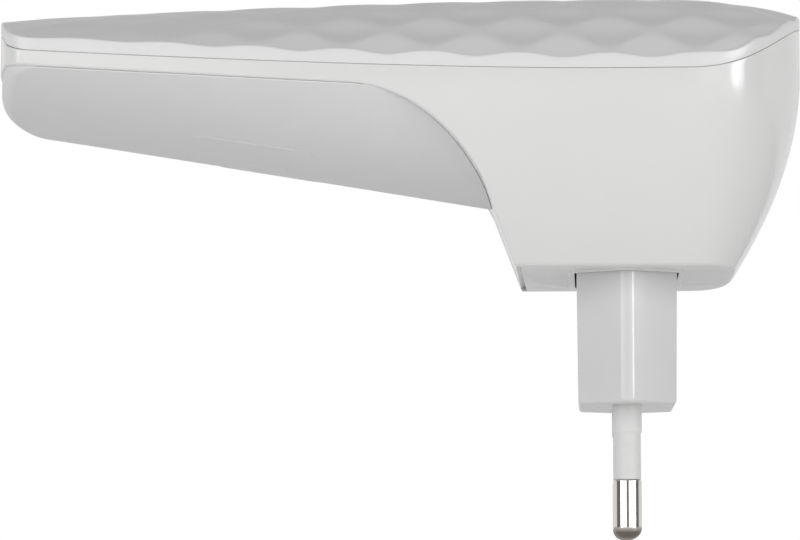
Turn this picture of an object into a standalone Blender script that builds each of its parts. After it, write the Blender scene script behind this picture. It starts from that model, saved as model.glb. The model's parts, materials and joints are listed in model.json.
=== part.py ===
"""Plug-in wireless range extender: a long wedge-shaped casing whose thick end carries a two-pin plug.

+Z points away from the wall, out through the arched front cover, and the pins point to -Z. +X points to
the thick plug end and -X to the thin end with the network socket. The origin is the middle of the plug's
seating face, between the pins. Lengths in this file are millimetres, and MM turns them into metres.
"""

import math

import bmesh
import bpy
from mathutils import Matrix, Vector

MM = 0.001
GAP = 0.3  # clearance between two separate pieces
FAR = 62.0  # higher than anything in the casing
ABOVE = 75.0  # the cutters' upper end
UNDER = 5.0  # the cutters' lower end
ALL_X = (-100.0, 36.0)  # further out than anything in the casing
ALL_Y = (-45.0, 45.0)
PAST = 3.0  # how far a cutter runs past the face that it cuts
JOIN = 0.5  # overlap of two shapes that become one piece

# Casing envelope
HALF_WIDTH = 32.9
THIN_END_X = -90.0
THICK_END_X = 25.1
THIN_END_BOW = 5.0
CORNER_RADIUS = 2.5
NOSE_START_X = 8.0
NOSE_POWER = 2.55
NOSE_POWER_GAIN = 0.7  # the thick end grows squarer towards the base
RIM_Z = 47.0
BASE_Z = 18.7
TAPER_POWER = 1.9
SIDE_TAPER = 10.6
NOSE_TAPER = 9.7
THIN_END_TAPER = 0.6
WALL = 1.6
TAPER_LEVELS = (21.5, 24.5, 28.0, 32.0, 36.0, 40.0, 43.5, RIM_Z, FAR)
NOSE_STEPS = 18
SIDE_STATIONS_X = (-22.0, -48.0, -68.0)
BOW_STEPS = 6
CORNER_STEPS = 2

# Arched front cover
CREST_Z = 58.75
CREST_X = -4.0
CREST_CURVE = 0.00042
NOSE_FALL = 2.9
NOSE_FALL_POWER = 3.2
THIN_FALL = 0.3
THIN_FALL_X = -80.0
SIDE_EDGE_Z = 46.76
SIDE_EDGE_CURVE = 0.00447
SIDE_EDGE_POWER = 1.5
ARCH_POWER = 2.3
COVER_BAND = 1.9
COVER_LOW_Z = 42.0  # lower than anything in the cover

# Edge where the glossy housing meets the matt rear cover, in the XZ plane
STRIP_START = (-95.0, 46.6)
SWEEP_START = (-38.0, 43.15)
SWEEP_CONTROL_A = (-30.5, 42.7)
SWEEP_CONTROL_B = (-23.6, 37.6)
SWEEP_END = (-19.8, 30.2)
LEG_FOOT = (-15.2, 18.0)
SWEEP_STEPS = 10

# Matt rear cover: its section is a shallow arch that rises to the strip along both sides
BACK_Z = 29.75
BACK_X = -20.8
BACK_SLOPE = 0.171
BACK_ARCH_POWER = 3.0
BACK_SIDE_Z = 42.6
BACK_SIDE_SLOPE = 0.0605
REAR_STEP = 0.5  # the housing stands proud of the rear cover by this much
REAR_FLOOR = 1.8
SEAM = 0.25  # open joint between the housing's edge and the rear cover
LIP_INSET = WALL + GAP
REAR_INNER_INSET = 2.9
LIP_REACH = 1.2
END_WALL_RISE = 0.6
END_WALL_PAST = 1.0

# Plug
BLOCK_HALF_X = 7.08
BLOCK_HALF_Y = 17.65
BLOCK_SHOULDER_Y = 13.05
BLOCK_NOSE_HALF = 0.6
SHOULDER_SHARE = 0.3  # how far the shoulders move for each step of inset
BLOCK_FOOT_SCALE = 0.975
BLOCK_TOP_Z = 21.2
BLOCK_FLANGE = 1.8
FLANGE_THICK = 1.4
FOOT_EDGE = ((0.0, 0.6), (0.2, 0.2), (0.7, 0.0))  # the foot's softened edge: height and inset
PIN_PITCH_HALF = 9.3
PIN_LENGTH = 19.0
PIN_RADIUS = 2.0
PIN_CORE_RADIUS = 1.3
PIN_BACK_Z = 23.4
PIN_TIP = ((0.9, 0.12), (1.6, 0.65), (PIN_RADIUS, 1.7))  # radius, and distance from the pin's end
PIN_CONVERGE = math.radians(1.66)
SLEEVE_END_Z = -10.6
SLEEVE_RADIUS = 1.9
COLLAR_RADIUS = 2.05
COLLAR_END_Z = -3.9
SLEEVE_BORE_RADIUS = 1.6
SLEEVE_SEAT = 1.5
CONTACT_HALF_Y = 2.0
CONTACT_SECTION = (  # x and z of the strip that rests on a pin's inner end
    (-3.0, 25.0),
    (3.0, 23.8),
    (3.0, 24.3),
    (-3.0, 25.5),
    (-3.0, 26.2),
    (-3.6, 26.2),
    (-3.6, 25.0),
)

# Boards
BOARD_THICK = 1.2
MAIN_BOARD_Z = 48.4
MAIN_TOP_Z = MAIN_BOARD_Z + BOARD_THICK + GAP
MAIN_UNDER_Z = MAIN_BOARD_Z - GAP
MAIN_HALF_WIDTH = 24.0
MAIN_X = (-86.0, 14.5)
MAIN_CHAMFER = 5.0
POWER_BOARD_Z = 26.6
POWER_TOP_Z = POWER_BOARD_Z + BOARD_THICK + GAP
POWER_HALF_X = 13.0
POWER_HALF_Y = 19.0

# Network socket
JACK_X = (-87.3, -71.5)
JACK_HALF_Y = 7.4
JACK_Z = (44.6, 53.2)
JACK_MOUTH_HALF_Y = 6.0
JACK_MOUTH_Z = (46.1, 52.7)
JACK_LATCH_HALF_Y = 3.2
JACK_LATCH_Z = 45.0
JACK_DEPTH = 13.0
JACK_RIM = 0.2  # the casing's cut-out stands this far outside the socket's mouth
JACK_CUT_X = (THIN_END_X - PAST, THIN_END_X + 6.0)
POCKET_X = (-88.2, JACK_X[1] + GAP)
COMB_START = 4.0
COMB_HALF_Y = 5.0
COMB_THICK = 0.9

# Pairing button on the cover, and reset button behind a pinhole
PAIR_X = -58.0
PAIR_HALF_X = 6.0
PAIR_HALF_Y = 4.0
PAIR_FLANGE_Z = (54.6, 55.3)
PAIR_FLANGE = 1.2
PAIR_STEM_Z = 54.1
PAIR_STEM_RADIUS = 1.5
PLUNGER_TOP_Z = 53.8
PLUNGER_RADIUS = 1.7
PLUNGER_ROOM = 0.5  # below the plunger at rest, more than it travels
SWITCH_HALF = 3.0
SWITCH_HEIGHT = 3.1
SWITCH_WELL = 1.4
RESET_Y = 14.0
RESET_Z = 51.0
RESET_HOLE_RADIUS = 0.9
RESET_PLUNGER_X = (-86.2, -83.6)
RESET_PLUNGER_RADIUS = 0.65
RESET_SWITCH_X = (-84.8, -80.8)
RESET_SWITCH_HALF_Y = 2.5
RESET_SWITCH_RISE = 1.5
RESET_WELL = 1.8

# Light guide and indicator lamps
GUIDE_X = (-37.5, -16.5)
GUIDE_HALF_Y = 1.5
GUIDE_LOW_Z = 51.0
GUIDE_HIGH_Z = 55.2
GUIDE_PIPS_X = (-36.0, -30.0, -24.0, -18.0)
PIP_RADIUS = 0.8
LED_NAMES = ("power_led", "signal_led", "wireless_led", "ethernet_led")
LED_HALF_X = 0.8
LED_HALF_Y = 0.4
LED_HEIGHT = 0.7

# Rating label and base plate
LABEL_X = (-61.5, -44.0)
LABEL_HALF_Y = 17.8
LABEL_RECESS = 0.5
BASE_PLATE_TOP_Z = 20.9
PLUG_COLLAR_OUTSET = 1.1
PLUG_COLLAR_Z = (BASE_Z - 0.1, BASE_Z + 1.0)

# Screws that hold the main board
SCREW_PLACES = ((-60.0, -18.0), (-60.0, 18.0))
SCREW_RADIUS = 0.9
SCREW_LENGTH = 4.0
SCREW_HEAD = ((2.2, 0.0), (2.2, 0.8), (1.6, 1.3))  # radius, and height over the board
BOARD_HOLE_RADIUS = 1.3
POST_RADIUS = 2.6

# Components
PROCESSOR_HEIGHT = 1.3
SPREADER_THICK = 1.0
ANTENNA_STRIP = 1.0  # width of the antenna's legs
ANTENNA_ARM = 0.9
ANTENNA_FEED = 3.5  # from the ground leg to the feed leg
ANTENNA_HEIGHT = 2.5
ANTENNA_THICK = 0.4
CORE_HALF_X = 8.0
CORE_HALF_Y = 2.5
CORE_HEIGHT = 14.0
CORE_YOKE = 2.0
CORE_WINDOW = (2.0, 6.0)  # the window's sides, from the core's middle
COIL_HALF_Y = 6.2
FUSE_PLACE = (-11.2, POWER_TOP_Z + 1.8)  # x and z of its axis
FUSE_RADIUS = 1.4
FUSE_Y = (-9.5, -1.0)
DISC_PLACE = (-13.0, POWER_TOP_Z + 4.0)  # y and z of its middle
DISC_RADIUS = 3.5
DISC_X = (10.2, 12.6)
SHEET_X = (-15.0, 9.5)
SHEET_HALF_Y = 21.0
SHEET_Z = (MAIN_UNDER_Z - 2.2, MAIN_UNDER_Z - 1.8)


# ---------------------------------------------------------------- scene and materials


def clear_scene():
    for obj in list(bpy.data.objects):
        bpy.data.objects.remove(obj, do_unlink=True)


def plastic(name, colour, roughness):
    return make_material(name, colour, roughness, 0.0)


def make_material(name, colour, roughness, metallic):
    material = bpy.data.materials.new(name)
    material.use_nodes = True
    shader = material.node_tree.nodes["Principled BSDF"]
    shader.inputs["Base Color"].default_value = (*colour, 1.0)
    shader.inputs["Roughness"].default_value = roughness
    shader.inputs["Metallic"].default_value = metallic
    material.diffuse_color = (*colour, 1.0)
    return material


def make_materials():
    return {
        "gloss": plastic("gloss_white_plastic", (0.72, 0.71, 0.70), 0.12),
        "cover": plastic("cover_white_plastic", (0.72, 0.71, 0.71), 0.30),
        "matt": plastic("matt_white_plastic", (0.62, 0.61, 0.61), 0.55),
        "plug": plastic("plug_white_plastic", (0.70, 0.69, 0.69), 0.30),
        "sleeve": plastic("sleeve_plastic", (0.62, 0.61, 0.61), 0.45),
        "pin": make_material("plated_brass", (0.80, 0.78, 0.74), 0.15, 1.0),
        "label": plastic("label_film", (0.66, 0.66, 0.66), 0.40),
        "clear": plastic("clear_guide_plastic", (0.80, 0.82, 0.84), 0.10),
        "lamp": plastic("lamp_body", (0.75, 0.80, 0.45), 0.25),
        "board": plastic("circuit_board", (0.03, 0.22, 0.09), 0.40),
        "chip": plastic("chip_black", (0.02, 0.02, 0.02), 0.45),
        "dark": plastic("switch_black", (0.03, 0.03, 0.035), 0.50),
        "ferrite": plastic("ferrite", (0.05, 0.05, 0.055), 0.60),
        "winding": plastic("winding_tape", (0.78, 0.62, 0.10), 0.45),
        "capacitor": plastic("capacitor_sleeve", (0.03, 0.04, 0.10), 0.30),
        "ceramic": plastic("ceramic_blue", (0.08, 0.22, 0.50), 0.40),
        "sheet": plastic("insulation_film", (0.80, 0.78, 0.70), 0.35),
        "tin": make_material("tinned_steel", (0.62, 0.62, 0.61), 0.30, 1.0),
        "aluminium": make_material("aluminium", (0.77, 0.77, 0.78), 0.35, 1.0),
        "copper": make_material("spring_copper", (0.72, 0.45, 0.28), 0.30, 1.0),
    }


# ---------------------------------------------------------------- mesh helpers


def place_mesh(name, bm, material, origin=(0.0, 0.0, 0.0)):
    """Turns a bmesh in millimetres into an object in metres whose origin is at origin."""
    bmesh.ops.recalc_face_normals(bm, faces=bm.faces)
    bmesh.ops.transform(bm, matrix=Matrix.Translation(-Vector(origin)), verts=bm.verts)
    bmesh.ops.transform(bm, matrix=Matrix.Scale(MM, 4), verts=bm.verts)
    mesh = bpy.data.meshes.new(name)
    bm.to_mesh(mesh)
    bm.free()
    obj = bpy.data.objects.new(name, mesh)
    obj.location = Vector(origin) * MM
    bpy.context.scene.collection.objects.link(obj)
    if material is not None:
        mesh.materials.append(material)
    return obj


def smooth(obj, degrees=35.0):
    obj.data.shade_smooth()
    obj.data.set_sharp_from_angle(angle=math.radians(degrees))
    return obj


def cutter(name, bm):
    obj = place_mesh(name, bm, None)
    obj.hide_render = True
    obj.display_type = "WIRE"
    return obj


def combine(obj, tool, operation):
    modifier = obj.modifiers.new(tool.name, "BOOLEAN")
    modifier.operation = operation
    modifier.solver = "EXACT"
    modifier.object = tool
    return modifier


def loft(rings):
    """Closed body through rings of equal length, with a flat cap at each end."""
    bm = bmesh.new()
    rows = [[bm.verts.new(point) for point in ring] for ring in rings]
    count = len(rows[0])
    for lower, upper in zip(rows, rows[1:]):
        for i in range(count):
            after = (i + 1) % count
            bm.faces.new((lower[i], lower[after], upper[after], upper[i]))
    bm.faces.new(list(reversed(rows[0])))
    bm.faces.new(rows[-1])
    return bm


def prism(outline, low, high, axis="Z"):
    """An outline drawn in the plane across axis, stretched from low to high along it."""
    place = {
        "X": lambda a, b, t: (t, a, b),
        "Y": lambda a, b, t: (a, t, b),
        "Z": lambda a, b, t: (a, b, t),
    }[axis]
    return loft([[place(a, b, t) for a, b in outline] for t in (low, high)])


def box(x, y, z):
    return prism(((x[0], y[0]), (x[1], y[0]), (x[1], y[1]), (x[0], y[1])), *z)


def ellipse(centre, half_x, half_y, steps):
    turns = [2.0 * math.pi * i / steps for i in range(steps)]
    return [(centre[0] + half_x * math.cos(a), centre[1] + half_y * math.sin(a)) for a in turns]


def rod(centre, radius, low, high, axis="Z", steps=16):
    return prism(ellipse(centre, radius, radius, steps), low, high, axis)


def turned(profile, steps):
    """A solid of revolution about Z from (radius, z) points, from one end of the axis to the other."""
    inner = profile[1:-1]
    turns = [2.0 * math.pi * i / steps for i in range(steps)]
    bm = bmesh.new()
    rows = [[bm.verts.new((r * math.cos(a), r * math.sin(a), z)) for a in turns] for r, z in inner]
    first = bm.verts.new((0.0, 0.0, profile[0][1]))
    last = bm.verts.new((0.0, 0.0, profile[-1][1]))
    for i in range(steps):
        after = (i + 1) % steps
        bm.faces.new((first, rows[0][after], rows[0][i]))
        bm.faces.new((last, rows[-1][i], rows[-1][after]))
        for lower, upper in zip(rows, rows[1:]):
            bm.faces.new((lower[i], lower[after], upper[after], upper[i]))
    return bm


def turned_ring(profile, steps):
    """A ring about Z from a closed loop of (radius, z) points that keeps clear of the axis."""
    turns = [2.0 * math.pi * i / steps for i in range(steps)]
    bm = bmesh.new()
    rows = [[bm.verts.new((r * math.cos(a), r * math.sin(a), z)) for a in turns] for r, z in profile]
    for lower, upper in zip(rows, rows[1:] + rows[:1]):
        for i in range(steps):
            after = (i + 1) % steps
            bm.faces.new((lower[i], lower[after], upper[after], upper[i]))
    return bm


def shifted(outline, dx, dz):
    return [(x + dx, z + dz) for x, z in outline]


def between(first, second, share):
    return first + (second - first) * share


# ---------------------------------------------------------------- casing surfaces


def taper_at(z):
    """How far the casing has narrowed at height z, from 0 at the rim to 1 at the base."""
    return (max(0.0, RIM_Z - z) / (RIM_Z - BASE_Z)) ** TAPER_POWER


def thin_end_corner(width, left):
    """The far corner of the thin end, from the side round to the bowed end."""
    lean = math.atan(2.0 * THIN_END_BOW / width)
    meet_y = width - CORNER_RADIUS + CORNER_RADIUS * math.sin(lean)
    meet_x = left + THIN_END_BOW * (meet_y / width) ** 2
    centre_x = meet_x + CORNER_RADIUS * math.cos(lean)
    centre_y = width - CORNER_RADIUS
    points = []
    for i in range(CORNER_STEPS + 1):
        angle = math.pi / 2.0 + (math.pi / 2.0 - lean) * i / CORNER_STEPS
        x = centre_x + CORNER_RADIUS * math.cos(angle)
        points.append((x, centre_y + CORNER_RADIUS * math.sin(angle)))
    return points


def nose(width, right, power):
    """The rounded thick end, from the near side to the far side."""
    points = []
    for i in range(NOSE_STEPS + 1):
        angle = math.pi * (i / NOSE_STEPS - 0.5)
        out = abs(math.cos(angle)) ** (2.0 / power)
        side = math.copysign(abs(math.sin(angle)) ** (2.0 / power), angle)
        points.append((NOSE_START_X + (right - NOSE_START_X) * out, width * side))
    return points


def casing_outline(taper, inset):
    """Plan outline of the casing, drawn in by inset."""
    width = HALF_WIDTH - SIDE_TAPER * taper - inset
    left = THIN_END_X + THIN_END_TAPER * taper + inset
    right = THICK_END_X - NOSE_TAPER * taper - inset
    corner = thin_end_corner(width, left)
    edge = corner[-1][1]
    bow = []
    for i in range(1, BOW_STEPS):
        y = edge * (1.0 - 2.0 * i / BOW_STEPS)
        bow.append((left + THIN_END_BOW * (y / width) ** 2, y))
    far_end = [(x, width) for x in SIDE_STATIONS_X] + corner
    near_end = [(x, -y) for x, y in reversed(far_end)]
    return nose(width, right, NOSE_POWER + NOSE_POWER_GAIN * taper) + far_end + bow + near_end


def crest_at(x):
    fall = NOSE_FALL * (max(0.0, x) / THICK_END_X) ** NOSE_FALL_POWER
    fall += THIN_FALL * (max(0.0, THIN_FALL_X - x) / (THIN_FALL_X - THIN_END_X)) ** 2
    return CREST_Z - CREST_CURVE * (x - CREST_X) ** 2 - fall


def dome_at(x, y):
    """Height of the arched cover: low along both sides, high along the middle."""
    edge = SIDE_EDGE_Z + SIDE_EDGE_CURVE * max(0.0, CREST_X - x) ** SIDE_EDGE_POWER
    return crest_at(x) - (crest_at(x) - edge) * (abs(y) / HALF_WIDTH) ** ARCH_POWER


def back_at(x, y):
    """Height of the rear cover's outer face: a sloping back that rises towards both sides."""
    middle = BACK_Z + (BACK_X - x) * BACK_SLOPE
    side = BACK_SIDE_Z + (SWEEP_START[0] - x) * BACK_SIDE_SLOPE
    return middle + (side - middle) * (abs(y) / (HALF_WIDTH - REAR_STEP)) ** BACK_ARCH_POWER


def bezier(first, second, third, fourth, steps):
    points = []
    for i in range(1, steps + 1):
        t = i / steps
        shares = ((1 - t) ** 3, 3 * t * (1 - t) ** 2, 3 * t * t * (1 - t), t**3)
        corners = (first, second, third, fourth)
        points.append(tuple(sum(s * p[k] for s, p in zip(shares, corners)) for k in (0, 1)))
    return points


def sweep_edge():
    """The housing's lower edge: a thin strip at the thin end that sweeps down into the plug leg."""
    sweep = bezier(SWEEP_START, SWEEP_CONTROL_A, SWEEP_CONTROL_B, SWEEP_END, SWEEP_STEPS)
    return [STRIP_START, SWEEP_START, *sweep, LEG_FOOT]


def casing_body(inset, low):
    """The casing above height low as a lofted solid, drawn in by inset."""
    heights = [low] + [z for z in TAPER_LEVELS if z > low]
    return loft([[(x, y, z) for x, y in casing_outline(taper_at(z), inset)] for z in heights])


def slab(x, y, low_at, high_at, columns=16, rows=16):
    """The space over a rectangle between two curved sheets, each given as a height at (x, y)."""
    xs = [between(x[0], x[1], i / columns) for i in range(columns + 1)]
    ys = [between(y[0], y[1], j / rows) for j in range(rows + 1)]
    bm = bmesh.new()
    low = [[bm.verts.new((a, b, low_at(a, b))) for b in ys] for a in xs]
    high = [[bm.verts.new((a, b, high_at(a, b))) for b in ys] for a in xs]
    for sheet in (low, high):
        for i in range(columns):
            for j in range(rows):
                bm.faces.new((sheet[i][j], sheet[i + 1][j], sheet[i + 1][j + 1], sheet[i][j + 1]))
    for i in range(columns):
        for j in (0, rows):
            bm.faces.new((low[i][j], low[i + 1][j], high[i + 1][j], high[i][j]))
    for j in range(rows):
        for i in (0, columns):
            bm.faces.new((low[i][j], low[i][j + 1], high[i][j + 1], high[i][j]))
    return bm


def below_arch(lift):
    """Everything under the cover's arch, moved by lift."""
    return slab(ALL_X, ALL_Y, lambda x, y: UNDER, lambda x, y: dome_at(x, y) + lift)


def above_arch(lift):
    return slab(ALL_X, ALL_Y, lambda x, y: dome_at(x, y) + lift, lambda x, y: ABOVE)


def above_back(name, lift):
    """Everything over the rear cover's outer face, moved up by lift."""
    space = slab(ALL_X, ALL_Y, lambda x, y: back_at(x, y) + lift, lambda x, y: ABOVE, 8, 24)
    return cutter(name, space)


def beyond_edge(name, shift, above):
    """The half of the casing above the housing's lower edge, or below it, with the edge moved by shift."""
    edge = shifted(sweep_edge(), shift, shift)
    outline = [*edge, (edge[-1][0], UNDER)]
    if above:
        outline += [(ALL_X[1], UNDER), (ALL_X[1], ABOVE), (edge[0][0], ABOVE)]
    else:
        outline.append((edge[0][0], UNDER))
    return cutter(name, prism(outline, *ALL_Y, "Y"))


def mouth_outline(rim):
    """The network socket's mouth with its latch notch, as y and z, grown by rim."""
    half = JACK_MOUTH_HALF_Y + rim
    latch = JACK_LATCH_HALF_Y + rim
    low = JACK_LATCH_Z - rim
    step = JACK_MOUTH_Z[0] - rim
    high = JACK_MOUTH_Z[1] + rim
    notch = [(-latch, step), (-latch, low), (latch, low), (latch, step)]
    return [(-half, step), *notch, (half, step), (half, high), (-half, high)]


def socket_cutout():
    """The hole in the thin end for the network socket's mouth."""
    return cutter("socket_cutout", prism(mouth_outline(JACK_RIM), *JACK_CUT_X, "X"))


def socket_pocket():
    """Room for the network socket's body behind the thin end's wall."""
    half = JACK_HALF_Y + GAP
    return cutter("socket_pocket", box(POCKET_X, (-half, half), (JACK_Z[0] - GAP, FAR)))


def reset_pinhole():
    hole = rod((RESET_Y, RESET_Z), RESET_HOLE_RADIUS, *JACK_CUT_X, "X", 12)
    return cutter("reset_pinhole", hole)


# ---------------------------------------------------------------- casing pieces


def add_front_cover(materials, under_arch):
    cover = place_mesh("front_cover", casing_body(0.0, COVER_LOW_Z), materials["cover"])
    combine(cover, under_arch, "INTERSECT")
    combine(cover, cutter("over_parting", above_arch(GAP - COVER_BAND)), "INTERSECT")
    hole = ellipse((PAIR_X, 0.0), PAIR_HALF_X + GAP, PAIR_HALF_Y + GAP, 24)
    combine(cover, cutter("pairing_hole", prism(hole, COVER_LOW_Z, FAR)), "DIFFERENCE")
    for number, x in enumerate(GUIDE_PIPS_X, 1):
        hole = rod((x, 0.0), PIP_RADIUS + GAP, COVER_LOW_Z, FAR, steps=12)
        combine(cover, cutter(f"pip_hole_{number}", hole), "DIFFERENCE")
    smooth(cover)


def add_front_housing(materials, mouth, pinhole):
    """The glossy housing: a rim strip all round and the hull that carries the plug, open above and below."""
    housing = place_mesh("front_housing", casing_body(0.0, BASE_Z), materials["gloss"])
    combine(housing, cutter("under_parting", below_arch(-COVER_BAND)), "INTERSECT")
    combine(housing, beyond_edge("above_edge", 0.0, True), "INTERSECT")
    inside = cutter("housing_inside", casing_body(WALL, BASE_Z - PAST))
    combine(inside, sweep_wall(), "DIFFERENCE")
    combine(housing, inside, "DIFFERENCE")
    combine(housing, mouth, "DIFFERENCE")
    combine(housing, pinhole, "DIFFERENCE")
    smooth(housing)


def sweep_wall():
    """The housing's end wall: it follows the swept edge from side to side, outside the rear cover's arch."""
    edge = sweep_edge()[1:]
    inner = shifted(edge, WALL, END_WALL_RISE)
    outer = shifted(edge, -END_WALL_PAST, -END_WALL_PAST)
    foot = [(LEG_FOOT[0] - END_WALL_PAST, UNDER), (LEG_FOOT[0] + WALL, UNDER)]
    wall = cutter("sweep_wall", prism([*outer, *foot, *reversed(inner)], *ALL_Y, "Y"))
    combine(wall, above_back("wall_opening", -GAP), "DIFFERENCE")
    return wall


def add_rear_cover(materials, mouth, pinhole):
    """The matt tray behind the thin part, with a lip along the strip that reaches up inside the housing."""
    rear = place_mesh("rear_cover", casing_body(REAR_STEP, BASE_Z), materials["matt"])
    combine(rear, above_back("rear_outside", 0.0), "INTERSECT")
    combine(rear, beyond_edge("below_edge", -SEAM, False), "INTERSECT")
    lip = cutter("rear_lip", casing_body(LIP_INSET, BASE_Z))
    combine(lip, above_back("lip_outside", REAR_FLOOR / 2.0), "INTERSECT")
    combine(lip, beyond_edge("lip_reach", LIP_REACH, False), "INTERSECT")
    combine(lip, cutter("lip_end", box((ALL_X[0], SWEEP_START[0]), ALL_Y, (UNDER, ABOVE))), "INTERSECT")
    combine(rear, lip, "UNION")
    inside = cutter("rear_inside", casing_body(REAR_INNER_INSET, BASE_Z))
    combine(inside, above_back("rear_floor", REAR_FLOOR), "INTERSECT")
    combine(rear, inside, "DIFFERENCE")
    combine(rear, socket_pocket(), "DIFFERENCE")
    for number, (x, y) in enumerate(SCREW_PLACES, 1):
        post = rod((x, y), POST_RADIUS, back_at(x, y) + REAR_FLOOR / 2.0, MAIN_UNDER_Z)
        combine(rear, cutter(f"screw_post_{number}", post), "UNION")
        hole = rod((x, y), SCREW_RADIUS + GAP, MAIN_UNDER_Z - SCREW_LENGTH - JOIN, FAR, steps=10)
        combine(rear, cutter(f"post_hole_{number}", hole), "DIFFERENCE")
    combine(rear, mouth, "DIFFERENCE")
    combine(rear, pinhole, "DIFFERENCE")
    combine(rear, label_recess(), "DIFFERENCE")
    smooth(rear)


def label_recess():
    x = (LABEL_X[0] - GAP, LABEL_X[1] + GAP)
    y = (-LABEL_HALF_Y - GAP, LABEL_HALF_Y + GAP)
    space = slab(x, y, lambda a, b: back_at(a, b) - PAST, lambda a, b: back_at(a, b) + LABEL_RECESS, 1, 10)
    return cutter("label_recess", space)


def add_rating_label(materials):
    y = (-LABEL_HALF_Y, LABEL_HALF_Y)
    film = slab(LABEL_X, y, back_at, lambda a, b: back_at(a, b) + LABEL_RECESS - GAP, 1, 10)
    place_mesh("rating_label", film, materials["label"])


def add_base_plate(materials):
    """The flat plate that closes the plug leg, with a low collar round the plug block."""
    edge = casing_outline(taper_at(BASE_Z), WALL + GAP)
    left = LEG_FOOT[0] + WALL + GAP
    side = max(y for _, y in edge)
    outline = [point for point in edge if point[0] > left] + [(left, side), (left, -side)]
    plate = place_mesh("base_plate", prism(outline, BASE_Z + GAP, BASE_PLATE_TOP_Z), materials["gloss"])
    collar = prism(block_outline(1.0, -PLUG_COLLAR_OUTSET), *PLUG_COLLAR_Z)
    combine(plate, cutter("plug_collar", collar), "UNION")
    opening = prism(block_outline(1.0, -GAP), UNDER, FAR)
    combine(plate, cutter("plug_opening", opening), "DIFFERENCE")


# ---------------------------------------------------------------- plug


def block_outline(scale, inset):
    """The plug's flattened hexagon with a narrow flat on each of its two points."""
    half_x = BLOCK_HALF_X * scale - inset
    shoulder = BLOCK_SHOULDER_Y - inset * SHOULDER_SHARE
    half_y = BLOCK_HALF_Y - inset
    near_half = [(-half_x, -shoulder), (-BLOCK_NOSE_HALF, -half_y)]
    near_half += [(BLOCK_NOSE_HALF, -half_y), (half_x, -shoulder)]
    return near_half + [(-x, -y) for x, y in near_half]


def add_plug_block(materials):
    levels = [(z, BLOCK_FOOT_SCALE, inset) for z, inset in FOOT_EDGE]
    levels += [(BASE_Z, 1.0, 0.0), (BLOCK_TOP_Z, 1.0, 0.0), (BLOCK_TOP_Z, 1.0, -BLOCK_FLANGE)]
    levels.append((BLOCK_TOP_Z + FLANGE_THICK, 1.0, -BLOCK_FLANGE))
    rings = [[(x, y, z) for x, y in block_outline(scale, inset)] for z, scale, inset in levels]
    block = place_mesh("plug_block", loft(rings), materials["plug"])
    for name, side in (("line_bore", -1.0), ("neutral_bore", 1.0)):
        seat = COLLAR_RADIUS + GAP
        bore = PIN_CORE_RADIUS + GAP
        top = BLOCK_TOP_Z + FLANGE_THICK + PAST
        profile = [(0.0, -PAST), (seat, -PAST), (seat, SLEEVE_SEAT + GAP), (bore, SLEEVE_SEAT + GAP)]
        profile += [(bore, top), (0.0, top)]
        combine(block, cutter(name, set_on_pin_axis(turned(profile, 16), side)), "DIFFERENCE")


def set_on_pin_axis(bm, side):
    """Moves a shape drawn about Z onto a pin's axis: the two pins lean together towards their tips."""
    lean = Matrix.Rotation(side * PIN_CONVERGE, 4, "X")
    place = Matrix.Translation((0.0, side * PIN_PITCH_HALF, 0.0)) @ lean
    bmesh.ops.transform(bm, matrix=place, verts=bm.verts)
    return bm


def add_pins(materials):
    shoulder = SLEEVE_END_Z - GAP
    pin = [(0.0, -PIN_LENGTH)] + [(radius, rise - PIN_LENGTH) for radius, rise in PIN_TIP]
    pin += [(PIN_RADIUS, shoulder), (PIN_CORE_RADIUS, shoulder)]
    pin += [(PIN_CORE_RADIUS, PIN_BACK_Z), (0.0, PIN_BACK_Z)]
    sleeve = [(SLEEVE_BORE_RADIUS, SLEEVE_END_Z), (SLEEVE_RADIUS, SLEEVE_END_Z)]
    sleeve += [(SLEEVE_RADIUS, COLLAR_END_Z), (COLLAR_RADIUS, COLLAR_END_Z)]
    sleeve += [(COLLAR_RADIUS, SLEEVE_SEAT), (SLEEVE_BORE_RADIUS, SLEEVE_SEAT)]
    for name, side in (("line", -1.0), ("neutral", 1.0)):
        smooth(place_mesh(f"{name}_pin", set_on_pin_axis(turned(pin, 20), side), materials["pin"]))
        ring = set_on_pin_axis(turned_ring(sleeve, 20), side)
        smooth(place_mesh(f"{name}_pin_sleeve", ring, materials["sleeve"]))
        y = side * PIN_PITCH_HALF
        strip = prism(CONTACT_SECTION, y - CONTACT_HALF_Y, y + CONTACT_HALF_Y, "Y")
        place_mesh(f"{name}_contact", strip, materials["copper"])


# ---------------------------------------------------------------- controls and lights


def add_pairing_button(materials, under_arch):
    origin = (PAIR_X, 0.0, PAIR_FLANGE_Z[0])
    cap = prism(ellipse((PAIR_X, 0.0), PAIR_HALF_X, PAIR_HALF_Y, 24), PAIR_FLANGE_Z[0], FAR)
    button = place_mesh("pairing_button", cap, materials["cover"], origin)
    combine(button, under_arch, "INTERSECT")
    flange = ellipse((PAIR_X, 0.0), PAIR_HALF_X + PAIR_FLANGE, PAIR_HALF_Y + PAIR_FLANGE, 24)
    combine(button, cutter("pairing_flange", prism(flange, *PAIR_FLANGE_Z)), "UNION")
    stem = rod((PAIR_X, 0.0), PAIR_STEM_RADIUS, PAIR_STEM_Z, PAIR_FLANGE_Z[0] + JOIN)
    combine(button, cutter("pairing_stem", stem), "UNION")
    smooth(button)


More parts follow.
